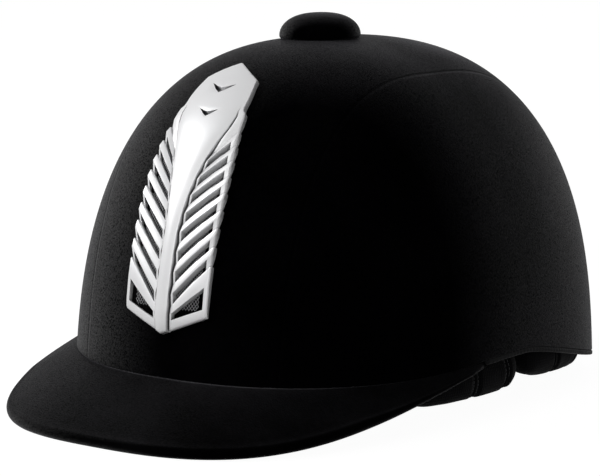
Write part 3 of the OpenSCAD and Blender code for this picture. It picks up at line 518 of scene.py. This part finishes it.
def peak():
    vs = [PEAK_END * DEG * math.copysign(abs(s) ** 1.2, s) for s in np.linspace(-1, 1, 181)]
    top, nose, low = np.linspace(0, 0.95, 26), np.linspace(0, 1, 12), [0.06, 0.13, 0.2]
    def cover(v, d):
        return peak_line(v, d, top, "top") + peak_line(v, d, nose, "nose") + peak_line(v, d, low, "low")
    peak_piece("peak_velvet", [cover(v, 0) + cover(v, 0.9)[::-1] for v in vs], M["peak_velvet"],
        "peak_cover")
    under = np.linspace(0.225, 1, 20)
    peak_piece("peak_underside", [peak_line(v, 0.0, under, "low") + peak_line(v, 0.8, under, "low")[::-1]
        for v in vs], M["under"], "peak_lining")

peak()

# Crown button, turned from a profile and set on the crown

BUTTON_R, BUTTON_H = 18.7, 11.6
BUTTON_AT, BUTTON_TILT = (0, -10.4, 162.8), 1.7

def button():
    R, H, steps = BUTTON_R, BUTTON_H, 128
    profile = [(0.01, H)] + [(R * max(0.0, math.cos(a)) ** 0.8, H * (0.12 + 0.88 * math.sin(a)))
        for a in np.linspace(89, 0, 40) * DEG]
    profile += [(R * 0.995, 0.8), (R - 0.5, 0.25), (R - 1.4, 0.05)]
    profile += [(R - 2.4, 0.35), (R - 4, 0.75), (0.01, 0.9)]
    P = np.array([[(r * math.cos(a), r * math.sin(a), z) for a in np.arange(steps) * 2 * math.pi / steps]
        for r, z in profile])
    ob = make("button_velvet", P.reshape(-1, 3), ring_grid(P), "helmet", M["velvet"],
        ["button_cover"])
    ob.data.transform(Matrix.Translation(Vector(BUTTON_AT) * MM) @ Matrix.Rotation(BUTTON_TILT * DEG, 4, "X"))

button()

# Vent strip, in rows that follow the slant of its fins. Each row has an angle down the
# dome at the blade and another at the strip's edge.

FIN = 2.5
FOOT_HALF, FOOT_SLANT = 22.5, 2.7
SLOTS = 9
SIDE_SHARES = (0, 0.25, 0.5, 0.76, 0.955, 0.96, 0.965, 0.97, 0.975, 0.98, 0.985, 0.99, 0.995, 1)
# rows of the top plate: angle at the middle, angle at the edge, half width, flatness
PLATE = ((44.2, 39.9, 18.9, 0.0), (41.6, 38.3, 18.5, 0.1), (39.6, 37.2, 17.9, 0.35), (38.0, 36.6, 16.6, 0.6),
    (36.6, 35.9, 16.2, 0.85), (35.0, 35.0, 16.1, 1.0), (33.2, 33.9, 16.0, 1.0), (31.0, 32.5, 15.6, 1.0),
    (28.8, 31.2, 15.1, 1.0), (26.4, 29.8, 14.4, 1.0), (23.5, 28.3, 13.75, 1.0))
# arrow-shaped notches: angles of the arms, of the inner corner and of the tip, and the half width
NOTCHES = ((30.3, 31.5, 32.9, 6.8), (37.2, 37.9, 39.0, 5.3))

def strip_pt(x, phi, h):
    """The point at x across the strip, phi down the dome and h above the velvet."""
    phi = phi * DEG
    r = plan_r(0.0, -h) * np.sin(phi) ** (2 / ROUND_OUT[0])
    return dome(np.arcsin(np.clip(x / r, -1, 1)), phi, -h)

def blade_at(phi):
    """Half width of the blade."""
    return 3.2 + 14.2 * max(0.0, (62 - phi) / 25) ** 1.7

def half_at(phi):
    """Half width of the strip."""
    return FOOT_HALF - (3.1 * ((57 - phi) / 15.5) ** 2 if phi < 57 else 0)

def strip_rows():
    """Rows of (across, angles, heights) from the foot to the top, and the holes that end at them."""
    rows, holes = [], []
    def row(inner, outer, half, hole=None, drop=0.0, frame_h=FIN, flat=0.0, blade=None, fin=FIN, foot=False):
        """One row between the angles inner and outer.

        b is the blade's half width, g where the groove beside it ends, f where the outer frame
        starts. fin and frame_h are heights, drop lowers the row, flat turns it into the top plate.
        """
        b = blade_at(inner) if blade is None else blade
        b = min(b, half - 4.4)
        g, f = b + 2.0, half - 2.0
        top = 4.0 - 0.35 * smooth((50 - inner) / 22)
        flank = (0.7 + 4.2 * smooth((57 - inner) / 17)) * min(1.0, b / 6)
        xs = [0, 0.3 * b, 0.6 * b, max(0.7 * b, b - flank), b, b + 0.18, min(b + 0.85, g - 0.5),
            min(b + 1.05, g - 0.3), g, g + (f - g) / 3, g + 2 * (f - g) / 3, f, half - 0.35, half]
        side = top - 0.5 - 0.4 * smooth((57 - inner) / 17)
        keen = 1 - flat
        groove = side * (1 - keen) + 0.9 * keen
        hs = [top, top - 0.06, top - 0.22, top - 0.4, side, groove, groove,
            (side - 0.2) * (1 - keen) + (fin - 0.1) * keen, fin, fin, fin, frame_h, frame_h, frame_h - 0.45]
        xs = [x * (1 - flat) + half * w * flat for x, w in zip(xs, SIDE_SHARES)]
        plate_h = [top - 1.2 * w ** 2 for w in SIDE_SHARES[:-2]] + [top - 1.2, top - 1.7]
        hs = [max(0.35, h * (1 - flat) + q * flat - drop) for h, q in zip(hs, plate_h)]
        if foot:
            angles = [inner - FOOT_SLANT * x / FOOT_HALF for x in xs]
        else:
            angles = [(inner if x <= b else inner + (outer - inner) * (x - b) / (half - b)) * (1 - flat)
                + (inner + (outer - inner) * x / half) * flat for x in xs]
        rows.append((xs, angles, hs))
        holes.append(hole)
    row(75.6, 72.9, FOOT_HALF, drop=1.5, blade=3.0, foot=True)
    row(75.35, 72.65, FOOT_HALF, drop=0.9, blade=3.0, foot=True)
    row(73.9, 71.6, FOOT_HALF, hole="window", drop=0.5, blade=3.0)
    row(73.3, 68.3, FOOT_HALF, drop=0.1, blade=3.1)
    for k in range(SLOTS):
        # a fin has a raised lower edge and falls away to the slot above it
        inner, outer = 72.3 - 3.1 * k, 65.6 - 3.0 * k
        half = half_at(outer)
        if k:
            row(inner + 1.5, outer + 1.4, half_at(outer + 1.4) - 0.1, frame_h=FIN + 0.35, fin=FIN + 0.4)
            row(inner + 1.38, outer + 1.28, half_at(outer + 1.3), frame_h=FIN + 0.4, fin=FIN + 0.45)
        row(inner + 0.14, outer + 0.14, half, frame_h=FIN - 0.1, fin=FIN - 0.2)
        row(inner, outer, half - 0.1, frame_h=FIN - 0.2, fin=FIN - 0.3)
        row(inner - 0.1, outer - 0.1, half - 0.75, hole="slot" if k < SLOTS - 1 else None, frame_h=FIN - 1.0,
            fin=FIN - 0.4)
    for inner, outer, half, flat in PLATE:
        row(inner, outer, half, flat=flat)
    row(23.1, 28.0, 13.7, drop=0.8, flat=1.0)
    return rows, holes

def cut_notch(ob, arms, corner, tip, w):
    """Cuts an arrow-shaped notch into the top plate."""
    upper, lower = arms + (corner - arms) * 0.62, arms + (tip - arms) * 0.66
    loop = [(-w, arms), (-w * 0.45, upper), (0, corner), (w * 0.45, upper), (w, arms),
        (w * 0.42, lower), (0, tip), (-w * 0.42, lower)]
    top = [strip_pt(x, phi, 6.0) for x, phi in loop]
    low = [strip_pt(x * 0.9, phi, 1.3) for x, phi in loop]
    n = len(loop)
    F = [tuple(range(n)), tuple(range(2 * n - 1, n - 1, -1))]
    F += [(k, n + k, n + (k + 1) % n, (k + 1) % n) for k in range(n)]
    cutter = bpy.data.objects.new("cutter", bpy.data.meshes.new("cutter"))
    cutter.data.from_pydata((np.array(top + low) * MM).tolist(), [], F)
    face_outwards(cutter.data)
    bpy.context.scene.collection.objects.link(cutter)
    mod = ob.modifiers.new("notch", "BOOLEAN")
    mod.operation, mod.solver, mod.object = "DIFFERENCE", "EXACT", cutter
    apply(ob)
    bpy.data.objects.remove(cutter)

def vent_strip():
    rows, holes = strip_rows()
    rows, holes = rows[::-1], holes[::-1]
    n = len(SIDE_SHARES)
    def grid(back):
        G = []
        for xs, angles, hs in rows:
            line = [(-xs[c], angles[c], hs[c]) for c in range(n - 1, 0, -1)]
            line += [(xs[c], angles[c], hs[c]) for c in range(n)]
            G.append([strip_pt(x, phi, 0.15 if back else h) for x, phi, h in line])
        return np.array(G)
    mid = n - 1
    def keep(i, j):
        # the row below in the picture opens a hole up to the next row
        column = j - mid if j >= mid else mid - 1 - j
        return not (holes[i + 1] and 8 <= column < 11)
    V, F = clean(*sheet(grid(False), grid(True), keep))
    ob = make("vent_moulding", V, F, "helmet", M["silver"], ["vent_strip"])
    for notch in NOTCHES:
        cut_notch(ob, *notch)
    bevel = ob.modifiers.new("edge", "BEVEL")
    bevel.width, bevel.segments, bevel.limit_method, bevel.angle_limit = 0.00016, 2, "ANGLE", 32 * DEG
    apply(ob)
    shade_smooth(ob.data)
    ob.data.set_sharp_from_angle(angle=40 * DEG)

vent_strip()

# Fine wire mesh behind the strip, as a diagonal net over part of the dome

NET_COLS, NET_ROWS = 44, 98
NET_HALF, NET_TOP, NET_ANGLE = 17.4, 40.5, 31.5

def mesh_net():
    V, F, at = [], [], {}
    def corner(i, j):
        if (i, j) not in at:
            at[i, j] = len(V)
            x, phi = -NET_HALF + 2 * NET_HALF * j / NET_COLS, NET_TOP + NET_ANGLE * i / NET_ROWS
            V.append(strip_pt(x, phi, 0.42 + 0.07 * math.cos(math.pi * j)))
        return at[i, j]
    for i in range(1, NET_ROWS):
        for j in range(1, NET_COLS):
            if (i + j) % 2:
                F.append((corner(i - 1, j), corner(i, j + 1), corner(i + 1, j), corner(i, j - 1)))
    ob = make("vent_net", np.array(V), F, "helmet", M["mesh"], ["vent_mesh"])
    wires = ob.modifiers.new("wire", "WIREFRAME")
    wires.thickness, wires.use_boundary = 0.00036, True
    apply(ob)

mesh_net()

# Soft pads. Each starts smaller than its place by the slack on every side, swells as cloth
# and is then sewn down.

SLACK = 0.5

def rounded(c, q):
    """A cosine or sine made squarer by q, for a section with rounded corners."""
    return math.copysign(abs(c) ** (2 / q), c)

def end_taper(s):
    """Share of the full section at s from -1 to 1 along a pad."""
    return (1 - abs(s) ** 9 * 0.985) ** 0.5

def wall_pad(u0, u1, z0, z1, o0, o1, steps, drop=0.0, under=-99.0, low_o=0.0):
    """Rings of a pad that follows the dome wall, and its middle line by the angle u.

    Its lower edge falls by drop towards u1, and below the height under it reaches out to low_o.
    """
    z1, o0, o1 = z1 - SLACK, o0 + SLACK, o1 - SLACK
    rings = []
    for i in range(steps + 1):
        t = 2 * i / steps - 1
        u, low, f = u0 + (u1 - u0) * (t + 1) / 2, z0 + SLACK - drop * (t + 1) / 2, end_taper(t)
        ring = []
        for a in np.arange(40) * math.pi / 20:
            z = (low + z1) / 2 + f * (z1 - low) / 2 * rounded(math.sin(a), 3.2)
            out = o0 + (low_o + SLACK - o0) * float(smooth((under - z) / 4))
            o = (out + o1) / 2 - f * (o1 - out) / 2 * rounded(math.cos(a), 3.2)
            ring.append(wall(np.array(u * DEG), z, o))
        rings.append(ring)
    def middle(P):
        u = np.arctan2(P[:, 0], -P[:, 1])
        t = (u / DEG - u0) / (u1 - u0)
        z = (z0 - drop * np.clip(t, 0, 1) + z1) / 2
        return u / DEG, wall(u, z, (o0 + o1) / 2)
    return np.array(rings), middle

def straight_pad(half, centre, size, q, along):
    """Rings of a straight roll along X or Z, and its middle line."""
    cx, cy, cz = centre
    rings = []
    for i in range(41):
        t = i / 20 - 1
        f = end_taper(t)
        ring = []
        for a in np.arange(32) * math.pi / 16:
            p, r = f * size[0] * rounded(math.cos(a), q), f * size[1] * rounded(math.sin(a), q)
            ring.append((cx + t * half, cy - p, cz + r) if along == "X" else (cx + p, cy + r, cz + t * half))
        rings.append(ring)
    axis = 0 if along == "X" else 2
    def middle(P):
        Q = np.tile(np.array(centre, float), (len(P), 1))
        Q[:, axis] = P[:, axis]
        return P[:, axis] - centre[axis], Q
    return np.array(rings), middle

def points_of(me):
    P = np.empty(len(me.vertices) * 3)
    me.vertices.foreach_get("co", P)
    return P.reshape(-1, 3)

# Cloth simulation, in metres
PRESSURE, VOXEL, SWELL_CAP, CLOTH_FRAMES = 4.0, 0.0035, 0.0016, 20

def swell(ob):
    """Voxel remesh, then cloth under pressure, with the way each point moves held to a cap."""
    scene = bpy.context.scene
    remesh = ob.modifiers.new("even", "REMESH")
    remesh.mode, remesh.voxel_size = "VOXEL", VOXEL
    apply(ob)
    rest = points_of(ob.data)
    fabric = ob.modifiers.new("swell", "CLOTH").settings
    fabric.quality = 5
    fabric.mass = 0.25
    fabric.tension_stiffness = fabric.compression_stiffness = 14
    fabric.bending_stiffness = 0.4
    fabric.use_pressure = True
    fabric.uniform_pressure_force = PRESSURE
    fabric.effector_weights.gravity = 0
    for f in range(1, CLOTH_FRAMES + 1):
        scene.frame_set(f)
    apply(ob)
    scene.frame_set(1)
    step = points_of(ob.data) - rest
    size = np.linalg.norm(step, axis=1, keepdims=True)
    P = rest + step * np.minimum(1, SWELL_CAP / np.maximum(size, 1e-9))
    ob.data.vertices.foreach_set("co", P.ravel())
    ob.data.update()
    even = ob.modifiers.new("even", "SMOOTH")
    even.factor, even.iterations = 0.5, 4
    apply(ob)

def thread(a, b, n):
    """One stitch from a to b, raised along n."""
    a, b, n = np.array(a, float), np.array(b, float), np.array(n, float)
    d = (b - a) / np.linalg.norm(b - a)
    w = np.cross(d, n)
    def ring(p, k):
        return [p + k * (0.3 * math.cos(t) * w + 0.25 * math.sin(t) * n) for t in np.arange(6) * math.pi / 3]
    V = ring(a, 0.4) + ring(a + 0.25 * d, 1) + ring(b - 0.25 * d, 1) + ring(b, 0.4)
    return np.array(V), tube_faces(3, 6)

def stitch_line(a, b, n, pitch=1.9, end=0.88):
    """Stitches from a to b, with a short gap between them."""
    a, b = np.array(a, float), np.array(b, float)
    k = max(1, round(np.linalg.norm(b - a) / pitch))
    return [thread(a + (b - a) * (i + 0.12) / k, a + (b - a) * (i + end) / k, n) for i in range(k)]

def channel_stitches(tree, rings, k, mirror):
    """Thread laid on the cloth round the pad, where the rings have the index k."""
    i = min(int(k), len(rings) - 2)
    ring = rings[i] + (rings[i + 1] - rings[i]) * (k - i)
    core = ring.mean(axis=0)
    if mirror:
        ring, core = ring * (-1, 1, 1), core * (-1, 1, 1)
    spots = []
    for q in ring:
        hit, n, _, _ = tree.ray_cast(Vector((core + (q - core) * 1.6) * MM), Vector(core - q).normalized())
        if hit:
            spots.append((np.array(hit) / MM, np.array(n)))
    threads = []
    for (a, n), (b, _) in zip(spots, spots[1:] + spots[:1]):
        if 0.6 < np.linalg.norm(b - a) < 6:
            threads += stitch_line(a, b, n, pitch=2.2, end=0.85)
    return threads

def pad(name, node, body, rings, middle, seams, mirror=False, gap=0.8, depth=0.12, fill=0.75):
    """A padded roll, with a channel sewn down along two close lines at each of its seams."""
    ob = make(name, rings.reshape(-1, 3), tube_faces(len(rings) - 1, rings.shape[1]), body,
        M["pad"], [node])
    face_outwards(ob.data)
    swell(ob)
    fine = ob.modifiers.new("fine", "SUBSURF")
    fine.levels = fine.render_levels = 2
    apply(ob)
    P = points_of(ob.data) / MM
    t, core = middle(P)
    lines = [c + e for c in seams for e in (-gap, gap)]
    pinch = np.zeros(len(P))
    for c in lines:
        pinch = np.maximum(pinch, np.exp(-((t - c) / (gap * 0.75)) ** 2))
    P = P + (core - P) * (depth * pinch)[:, None]
    if mirror:
        P[:, 0] *= -1
    ob.data.vertices.foreach_set("co", (P * MM).ravel())
    if mirror:
        ob.data.flip_normals()
    ob.data.materials.clear()
    ob.data.materials.append(M["pad"])
    shade_smooth(ob.data)
    ob.data.update()
    tree = BVHTree.FromObject(ob, bpy.context.evaluated_depsgraph_get())
    ends = middle(rings.mean(axis=1))[0]
    threads = []
    for c in lines:
        threads += channel_stitches(tree, rings, float(np.interp(c, ends, np.arange(len(rings)))), mirror)
    V, F = merge(threads)
    make(name + "_stitches", V, F, body, M["thread"], [])

# The side and back pads sit on the bands of the cradle and reach out under them to the rim
RACK_LOW, BAND_O, PAD_THICK = 28.3, 8.8, 13
PAD_TOP, PAD_UNDER, PAD_RIM_O = RACK_LOW + 7.4, RACK_LOW - 2.8, SHELL_IN + 1
side = wall_pad(52, 94.8, 6.9, PAD_TOP, BAND_O, BAND_O + PAD_THICK, 60, -1.6, PAD_UNDER, PAD_RIM_O)
rear = wall_pad(95.3, 145.5, 11.4, PAD_TOP, BAND_O, BAND_O + PAD_THICK, 66, 8.4, PAD_UNDER, PAD_RIM_O)
for who, mirrored in (("left", False), ("right", True)):
    pad(who + "_side_cushion", who + "_side_pad", who + "_arm", *side, [74, 87], mirrored)
    pad(who + "_back_cushion", who + "_back_pad", who + "_arm", *rear, [112, 128], mirrored)
brow = wall_pad(-46, 46, 14, 50, LINING_OUT, LINING_IN + 5, 100)
pad("brow_cushion", "brow_pad", "helmet", *brow, [-22, 0, 22])
nape = straight_pad(33, (0, 98.2, 38.5), (5.6, 11.6), 3.4, "X")
pad("nape_cushion", "nape_pad", "helmet", *nape, [-11, 11], gap=0.9)

# Harness webbing, as flat straps that loop round their pins. They are drawn in a frame of
# their own, with the pin at the origin and the strap running up along z, and then placed.

HINGE = np.array([67.2, 0, 46.0])
LEAN = 18 * DEG
CHIN_BAR = HINGE + np.array([-60 * math.sin(LEAN) - 6 * math.cos(LEAN), 5,
    60 * math.cos(LEAN) - 6 * math.sin(LEAN)])
WEB_THICK, SIDE_HALF, CHIN_HALF = 1.55, 9, 8
# Radius of the loop round a pin and end of the sewn-down tail
SIDE_LOOP, CHIN_LOOP = (2.9, 13), (2.45, 11.3)
# The tail lies at TAIL_X beside the strap. TAIL_FACE and BACK_FACE are where thread lies.
TAIL_X = 1.66
TAIL_FACE, BACK_FACE = TAIL_X + 0.82, -0.84
# A side strap slants from z = STRAP_FROM over a run of STRAP_RUN, and both end at STRAP_END
STRAP_FROM, STRAP_RUN, STRAP_END = 6.5, 35.5, 51.5
# For both straps of a side, y at its pin and how far it is laid aside at the divider
SIDE_STRAPS = ((-35, 0.4), (45, -0.4))
EDGE_SEAM = 7.6
CHIN_START, CHIN_END = 5.6, 58
# Centre of the chin pad from the chin webbing's bar, on the webbing's inner face
CHIN_PAD_OFF = (-(0.8 + 0.3 + 3.2), 0, -27)
# Section of a strap as shares of its half width and thickness, with a woven edge
PROFILE = [(1, 0), (0.99, 0.6), (0.95, 1), (0.87, 1), (0.84, 0.72), (0.81, 1), (0.4, 1), (0, 1)]
PROFILE += [(-x, y) for x, y in PROFILE[-2::-1]]
PROFILE += [(x, -y) for x, y in PROFILE[-2:0:-1]]

def ribbon(path, half_w):
    """A flat strap. path holds (x, y, z, thickness share); it is wide along y."""
    path = np.array(path, float)
    C, share = path[:, :3], path[:, 3]
    T = np.gradient(C, axis=0)
    N = np.stack([T[:, 2], np.zeros(len(T)), -T[:, 0]], -1)
    N /= np.linalg.norm(N, axis=1, keepdims=True)
    P = np.array([[c + np.array([0, half_w * x, 0]) + n * WEB_THICK / 2 * f * y for x, y in PROFILE]
        for c, n, f in zip(C, N, share)])
    return P.reshape(-1, 3), tube_faces(len(P) - 1, len(PROFILE))

def loop_path(r, tail):
    """The way round a pin at the origin, from the sewn-down tail to the strap's own line."""
    up = r + 2.6
    side_x, side_z = r * math.cos(35 * DEG), r * math.sin(35 * DEG)
    path = [(TAIL_X, 0, z, 1) for z in np.linspace(tail, up, 8)]
    path += [(TAIL_X + (side_x - TAIL_X) * float(smooth(t)), 0, up - t * (up - side_z), 1)
        for t in np.linspace(0.15, 0.9, 5)]
    path += [(r * math.cos(a), 0, r * math.sin(a), 1) for a in np.linspace(35, -215, 22) * DEG]
    path += [(-side_x * (1 - float(smooth(t))), 0, side_z + t * (up - side_z), 1)
        for t in np.linspace(0.1, 1, 6)]
    return path

def sewn_box(y0, y1, z0, z1):
    """Stitches in a box with a cross, on the face of a strap's tail."""
    c = [(TAIL_FACE, y0, z0), (TAIL_FACE, y1, z0), (TAIL_FACE, y1, z1), (TAIL_FACE, y0, z1)]
    runs = [(c[0], c[1]), (c[1], c[2]), (c[2], c[3]), (c[3], c[0]), (c[0], c[2]), (c[1], c[3])]
    return [q for a, b in runs for q in stitch_line(a, b, (1, 0, 0))]

def place(V, kind, mirror):
    """From the strap's own frame to the helmet's."""
    V = np.array(V)
    if kind == "harness":
        c, s = math.cos(LEAN), math.sin(LEAN)
        V = np.stack([V[:, 0] * c - V[:, 2] * s, V[:, 1], V[:, 0] * s + V[:, 2] * c], -1) + HINGE
    else:
        V = V * np.array([1, 1, -1]) + CHIN_BAR
    return V * np.array([-1, 1, 1]) if mirror else V

def soft_piece(name, parts, kind, mirror, body, material, nodes):
    """One piece of webbing or its thread, merged from its parts."""
    V, F = merge(parts)
    ob = make(name, place(V, kind, mirror), F, body, material, nodes, sharp=50)
    face_outwards(ob.data)

def harness(who, mirror):
    straps, seams = [], []
    for y0, layer_x in SIDE_STRAPS:
        # the two straps slant together and lie on each other at the divider
        end = 5 + math.copysign(6, y0)
        path = [(x, y0 + y, z, share) for x, y, z, share in loop_path(*SIDE_LOOP)]
        for z in np.linspace(STRAP_FROM, STRAP_END, 30):
            t = min(1.0, max(0.0, (z - STRAP_FROM) / STRAP_RUN))
            k = float(smooth((z - 24) / 16))
            path.append((layer_x * k, y0 + (end - y0) * t, z, 1 - 0.5 * k))
        straps.append(ribbon(path, SIDE_HALF))
        slant = (end - y0) / STRAP_RUN
        seams += sewn_box(y0 - 6.5, y0 + 6.5, 6.4, 12.2)
        for e in (-EDGE_SEAM, EDGE_SEAM):
            low, high = (BACK_FACE, y0 + e + slant * 9, 15.5), (BACK_FACE, end + e * 0.9, 40)
            seams += stitch_line(low, high, (-1, 0, 0), pitch=2.4)
    body = who + "_harness"
    soft_piece(who + "_side_strap", straps, "harness", mirror, body, M["webbing"], [who + "_webbing"])
    soft_piece(who + "_side_stitches", seams, "harness", mirror, body, M["thread"], [])
    path = loop_path(*CHIN_LOOP) + [(0, 0, z, 1) for z in np.linspace(CHIN_START, CHIN_END, 30)]
    body = who + "_chin_strap"
    soft_piece(who + "_chin_webbing_strap", [ribbon(path, CHIN_HALF)], "chin", mirror, body, M["webbing"],
        [who + "_chin_webbing"])
    soft_piece(who + "_chin_stitches", sewn_box(-5.6, 5.6, 5.3, 10.5), "chin", mirror, body, M["thread"], [])

harness("left", False)
harness("right", True)
chin = straight_pad(19, tuple(CHIN_BAR + np.array(CHIN_PAD_OFF)), (2.9, 13.6), 3.3, "Z")
pad("chin_cushion", "chin_pad", "left_chin_strap", *chin, [-7, 7], gap=0.7, depth=0.2)

# Floor, backdrop, lights and camera

FLOOR_HALF, FLOOR_Z = 6.0, -0.0002
SEEN_RAYS = ("Is Camera Ray", "Is Glossy Ray", "Is Transmission Ray")
# Place, diameter and power of each round lamp, and the point that they face
LIGHTS = {"key": ((-1.5, -1.1, 1.2), 0.7, 19), "front": ((0.2, -1.7, 0.7), 0.9, 6),
    "back": ((0.1, 2.0, 0.3), 0.8, 2)}
LIGHTS_AT = (0, 0, 0.09)
# The photograph's view: its focal length in pixels, its width in pixels, and where it looks from
FOCAL, PHOTO_W, SENSOR = 2412.18, 600, 36.0
VIEW_AZ, VIEW_EL, VIEW_DIST = 37.2107 * DEG, 8.3091 * DEG, 1.1152
VIEW_AT = (-0.0044996, -0.0196791, 0.0705905)

def add(ob):
    bpy.context.scene.collection.objects.link(ob)
    return ob

def ground():
    """A pale floor that turns white where it is seen and keeps some of its shadow."""
    g = Graph("paper")
    g.set(Base_Color=(0.55, 0.55, 0.55, 1), Roughness=0.9, Specular_IOR_Level=0.0)
    glow = g.node("ShaderNodeEmission", {"Color": (1, 1, 1, 1), "Strength": 1.38})
    rays = g.node("ShaderNodeLightPath").outputs
    seen = g.most(g.most(rays[SEEN_RAYS[0]], rays[SEEN_RAYS[1]]), rays[SEEN_RAYS[2]])
    mixed = g.node("ShaderNodeMixShader", {0: g.times(seen, 0.7), 1: g.b.outputs[0], 2: glow.outputs[0]})
    g.t.links.new(mixed.outputs[0], g.t.nodes["Material Output"].inputs["Surface"])
    me = bpy.data.meshes.new("floor")
    s = FLOOR_HALF
    me.from_pydata([(-s, -s, 0), (s, -s, 0), (s, s, 0), (-s, s, 0)], [], [(0, 1, 2, 3)])
    me.materials.append(g.m)
    floor = add(bpy.data.objects.new("floor", me))
    floor.location.z = FLOOR_Z

def studio():
    """White where it is seen, and a weak soft light otherwise."""
    world = bpy.data.worlds.new("studio")
    bpy.context.scene.world = world
    world.use_nodes = True
    nodes, link = world.node_tree.nodes, world.node_tree.links.new
    soft, white = nodes["Background"], nodes.new("ShaderNodeBackground")
    for background, strength in ((soft, 0.2), (white, 1.0)):
        background.inputs["Color"].default_value = (1, 1, 1, 1)
        background.inputs["Strength"].default_value = strength
    rays = nodes.new("ShaderNodeLightPath").outputs
    seen = rays[SEEN_RAYS[0]]
    for ray in SEEN_RAYS[1:]:
        most = nodes.new("ShaderNodeMath")
        most.operation = "MAXIMUM"
        link(seen, most.inputs[0])
        link(rays[ray], most.inputs[1])
        seen = most.outputs[0]
    mixed = nodes.new("ShaderNodeMixShader")
    link(seen, mixed.inputs[0])
    link(soft.outputs[0], mixed.inputs[1])
    link(white.outputs[0], mixed.inputs[2])
    link(mixed.outputs[0], nodes["World Output"].inputs["Surface"])

def lights():
    for name, (loc, size, power) in LIGHTS.items():
        lamp = bpy.data.lights.new(name, "AREA")
        lamp.shape, lamp.size, lamp.energy = "DISK", size, power
        ob = add(bpy.data.objects.new(name, lamp))
        ob.location = loc
        ob.rotation_euler = (Vector(LIGHTS_AT) - Vector(loc)).to_track_quat("-Z", "Y").to_euler()

def camera():
    flat = math.cos(VIEW_EL)
    back = Vector((math.sin(VIEW_AZ) * flat, -math.cos(VIEW_AZ) * flat, math.sin(VIEW_EL)))
    cam = bpy.data.cameras.new("camera")
    cam.sensor_width, cam.lens = SENSOR, SENSOR * FOCAL / PHOTO_W
    cam.clip_end = 50
    ob = add(bpy.data.objects.new("camera", cam))
    ob.location = Vector(VIEW_AT) + VIEW_DIST * back
    ob.rotation_euler = back.to_track_quat("Z", "Y").to_euler()
    bpy.context.scene.camera = ob

ground()
studio()
lights()
camera()

# Finishes of the rigid pieces that keep their own shape. The others, which pieces here
# replace, get pad or webbing.

FINISHES = {
    "shell": ("peak_core", "button_core"),
    "steel": ("peak_screws", "strip_screws", "button_screw", "button_washer", "lid_screws",
        "housing_rivets", "knob_screw", "strap_rivets", "strap_brackets", "strap_pins"),
    "black": ("strip_clamps", "dial_base", "dial_lid", "dial_knob", "left_band", "right_band",
        "left_divider", "right_divider", "buckle_socket", "buckle_plug", "strap_slider"),
    "white": ("dial_pinion",),
}
FINISH_OF = {node: finish for finish, nodes in FINISHES.items() for node in nodes}
for node, solid in NODES.items():
    solid.data.materials.clear()
    solid.data.materials.append(M[FINISH_OF.get(node, "pad" if "pad" in node else "webbing")])

bpy.context.scene.view_settings.view_transform = "Standard"
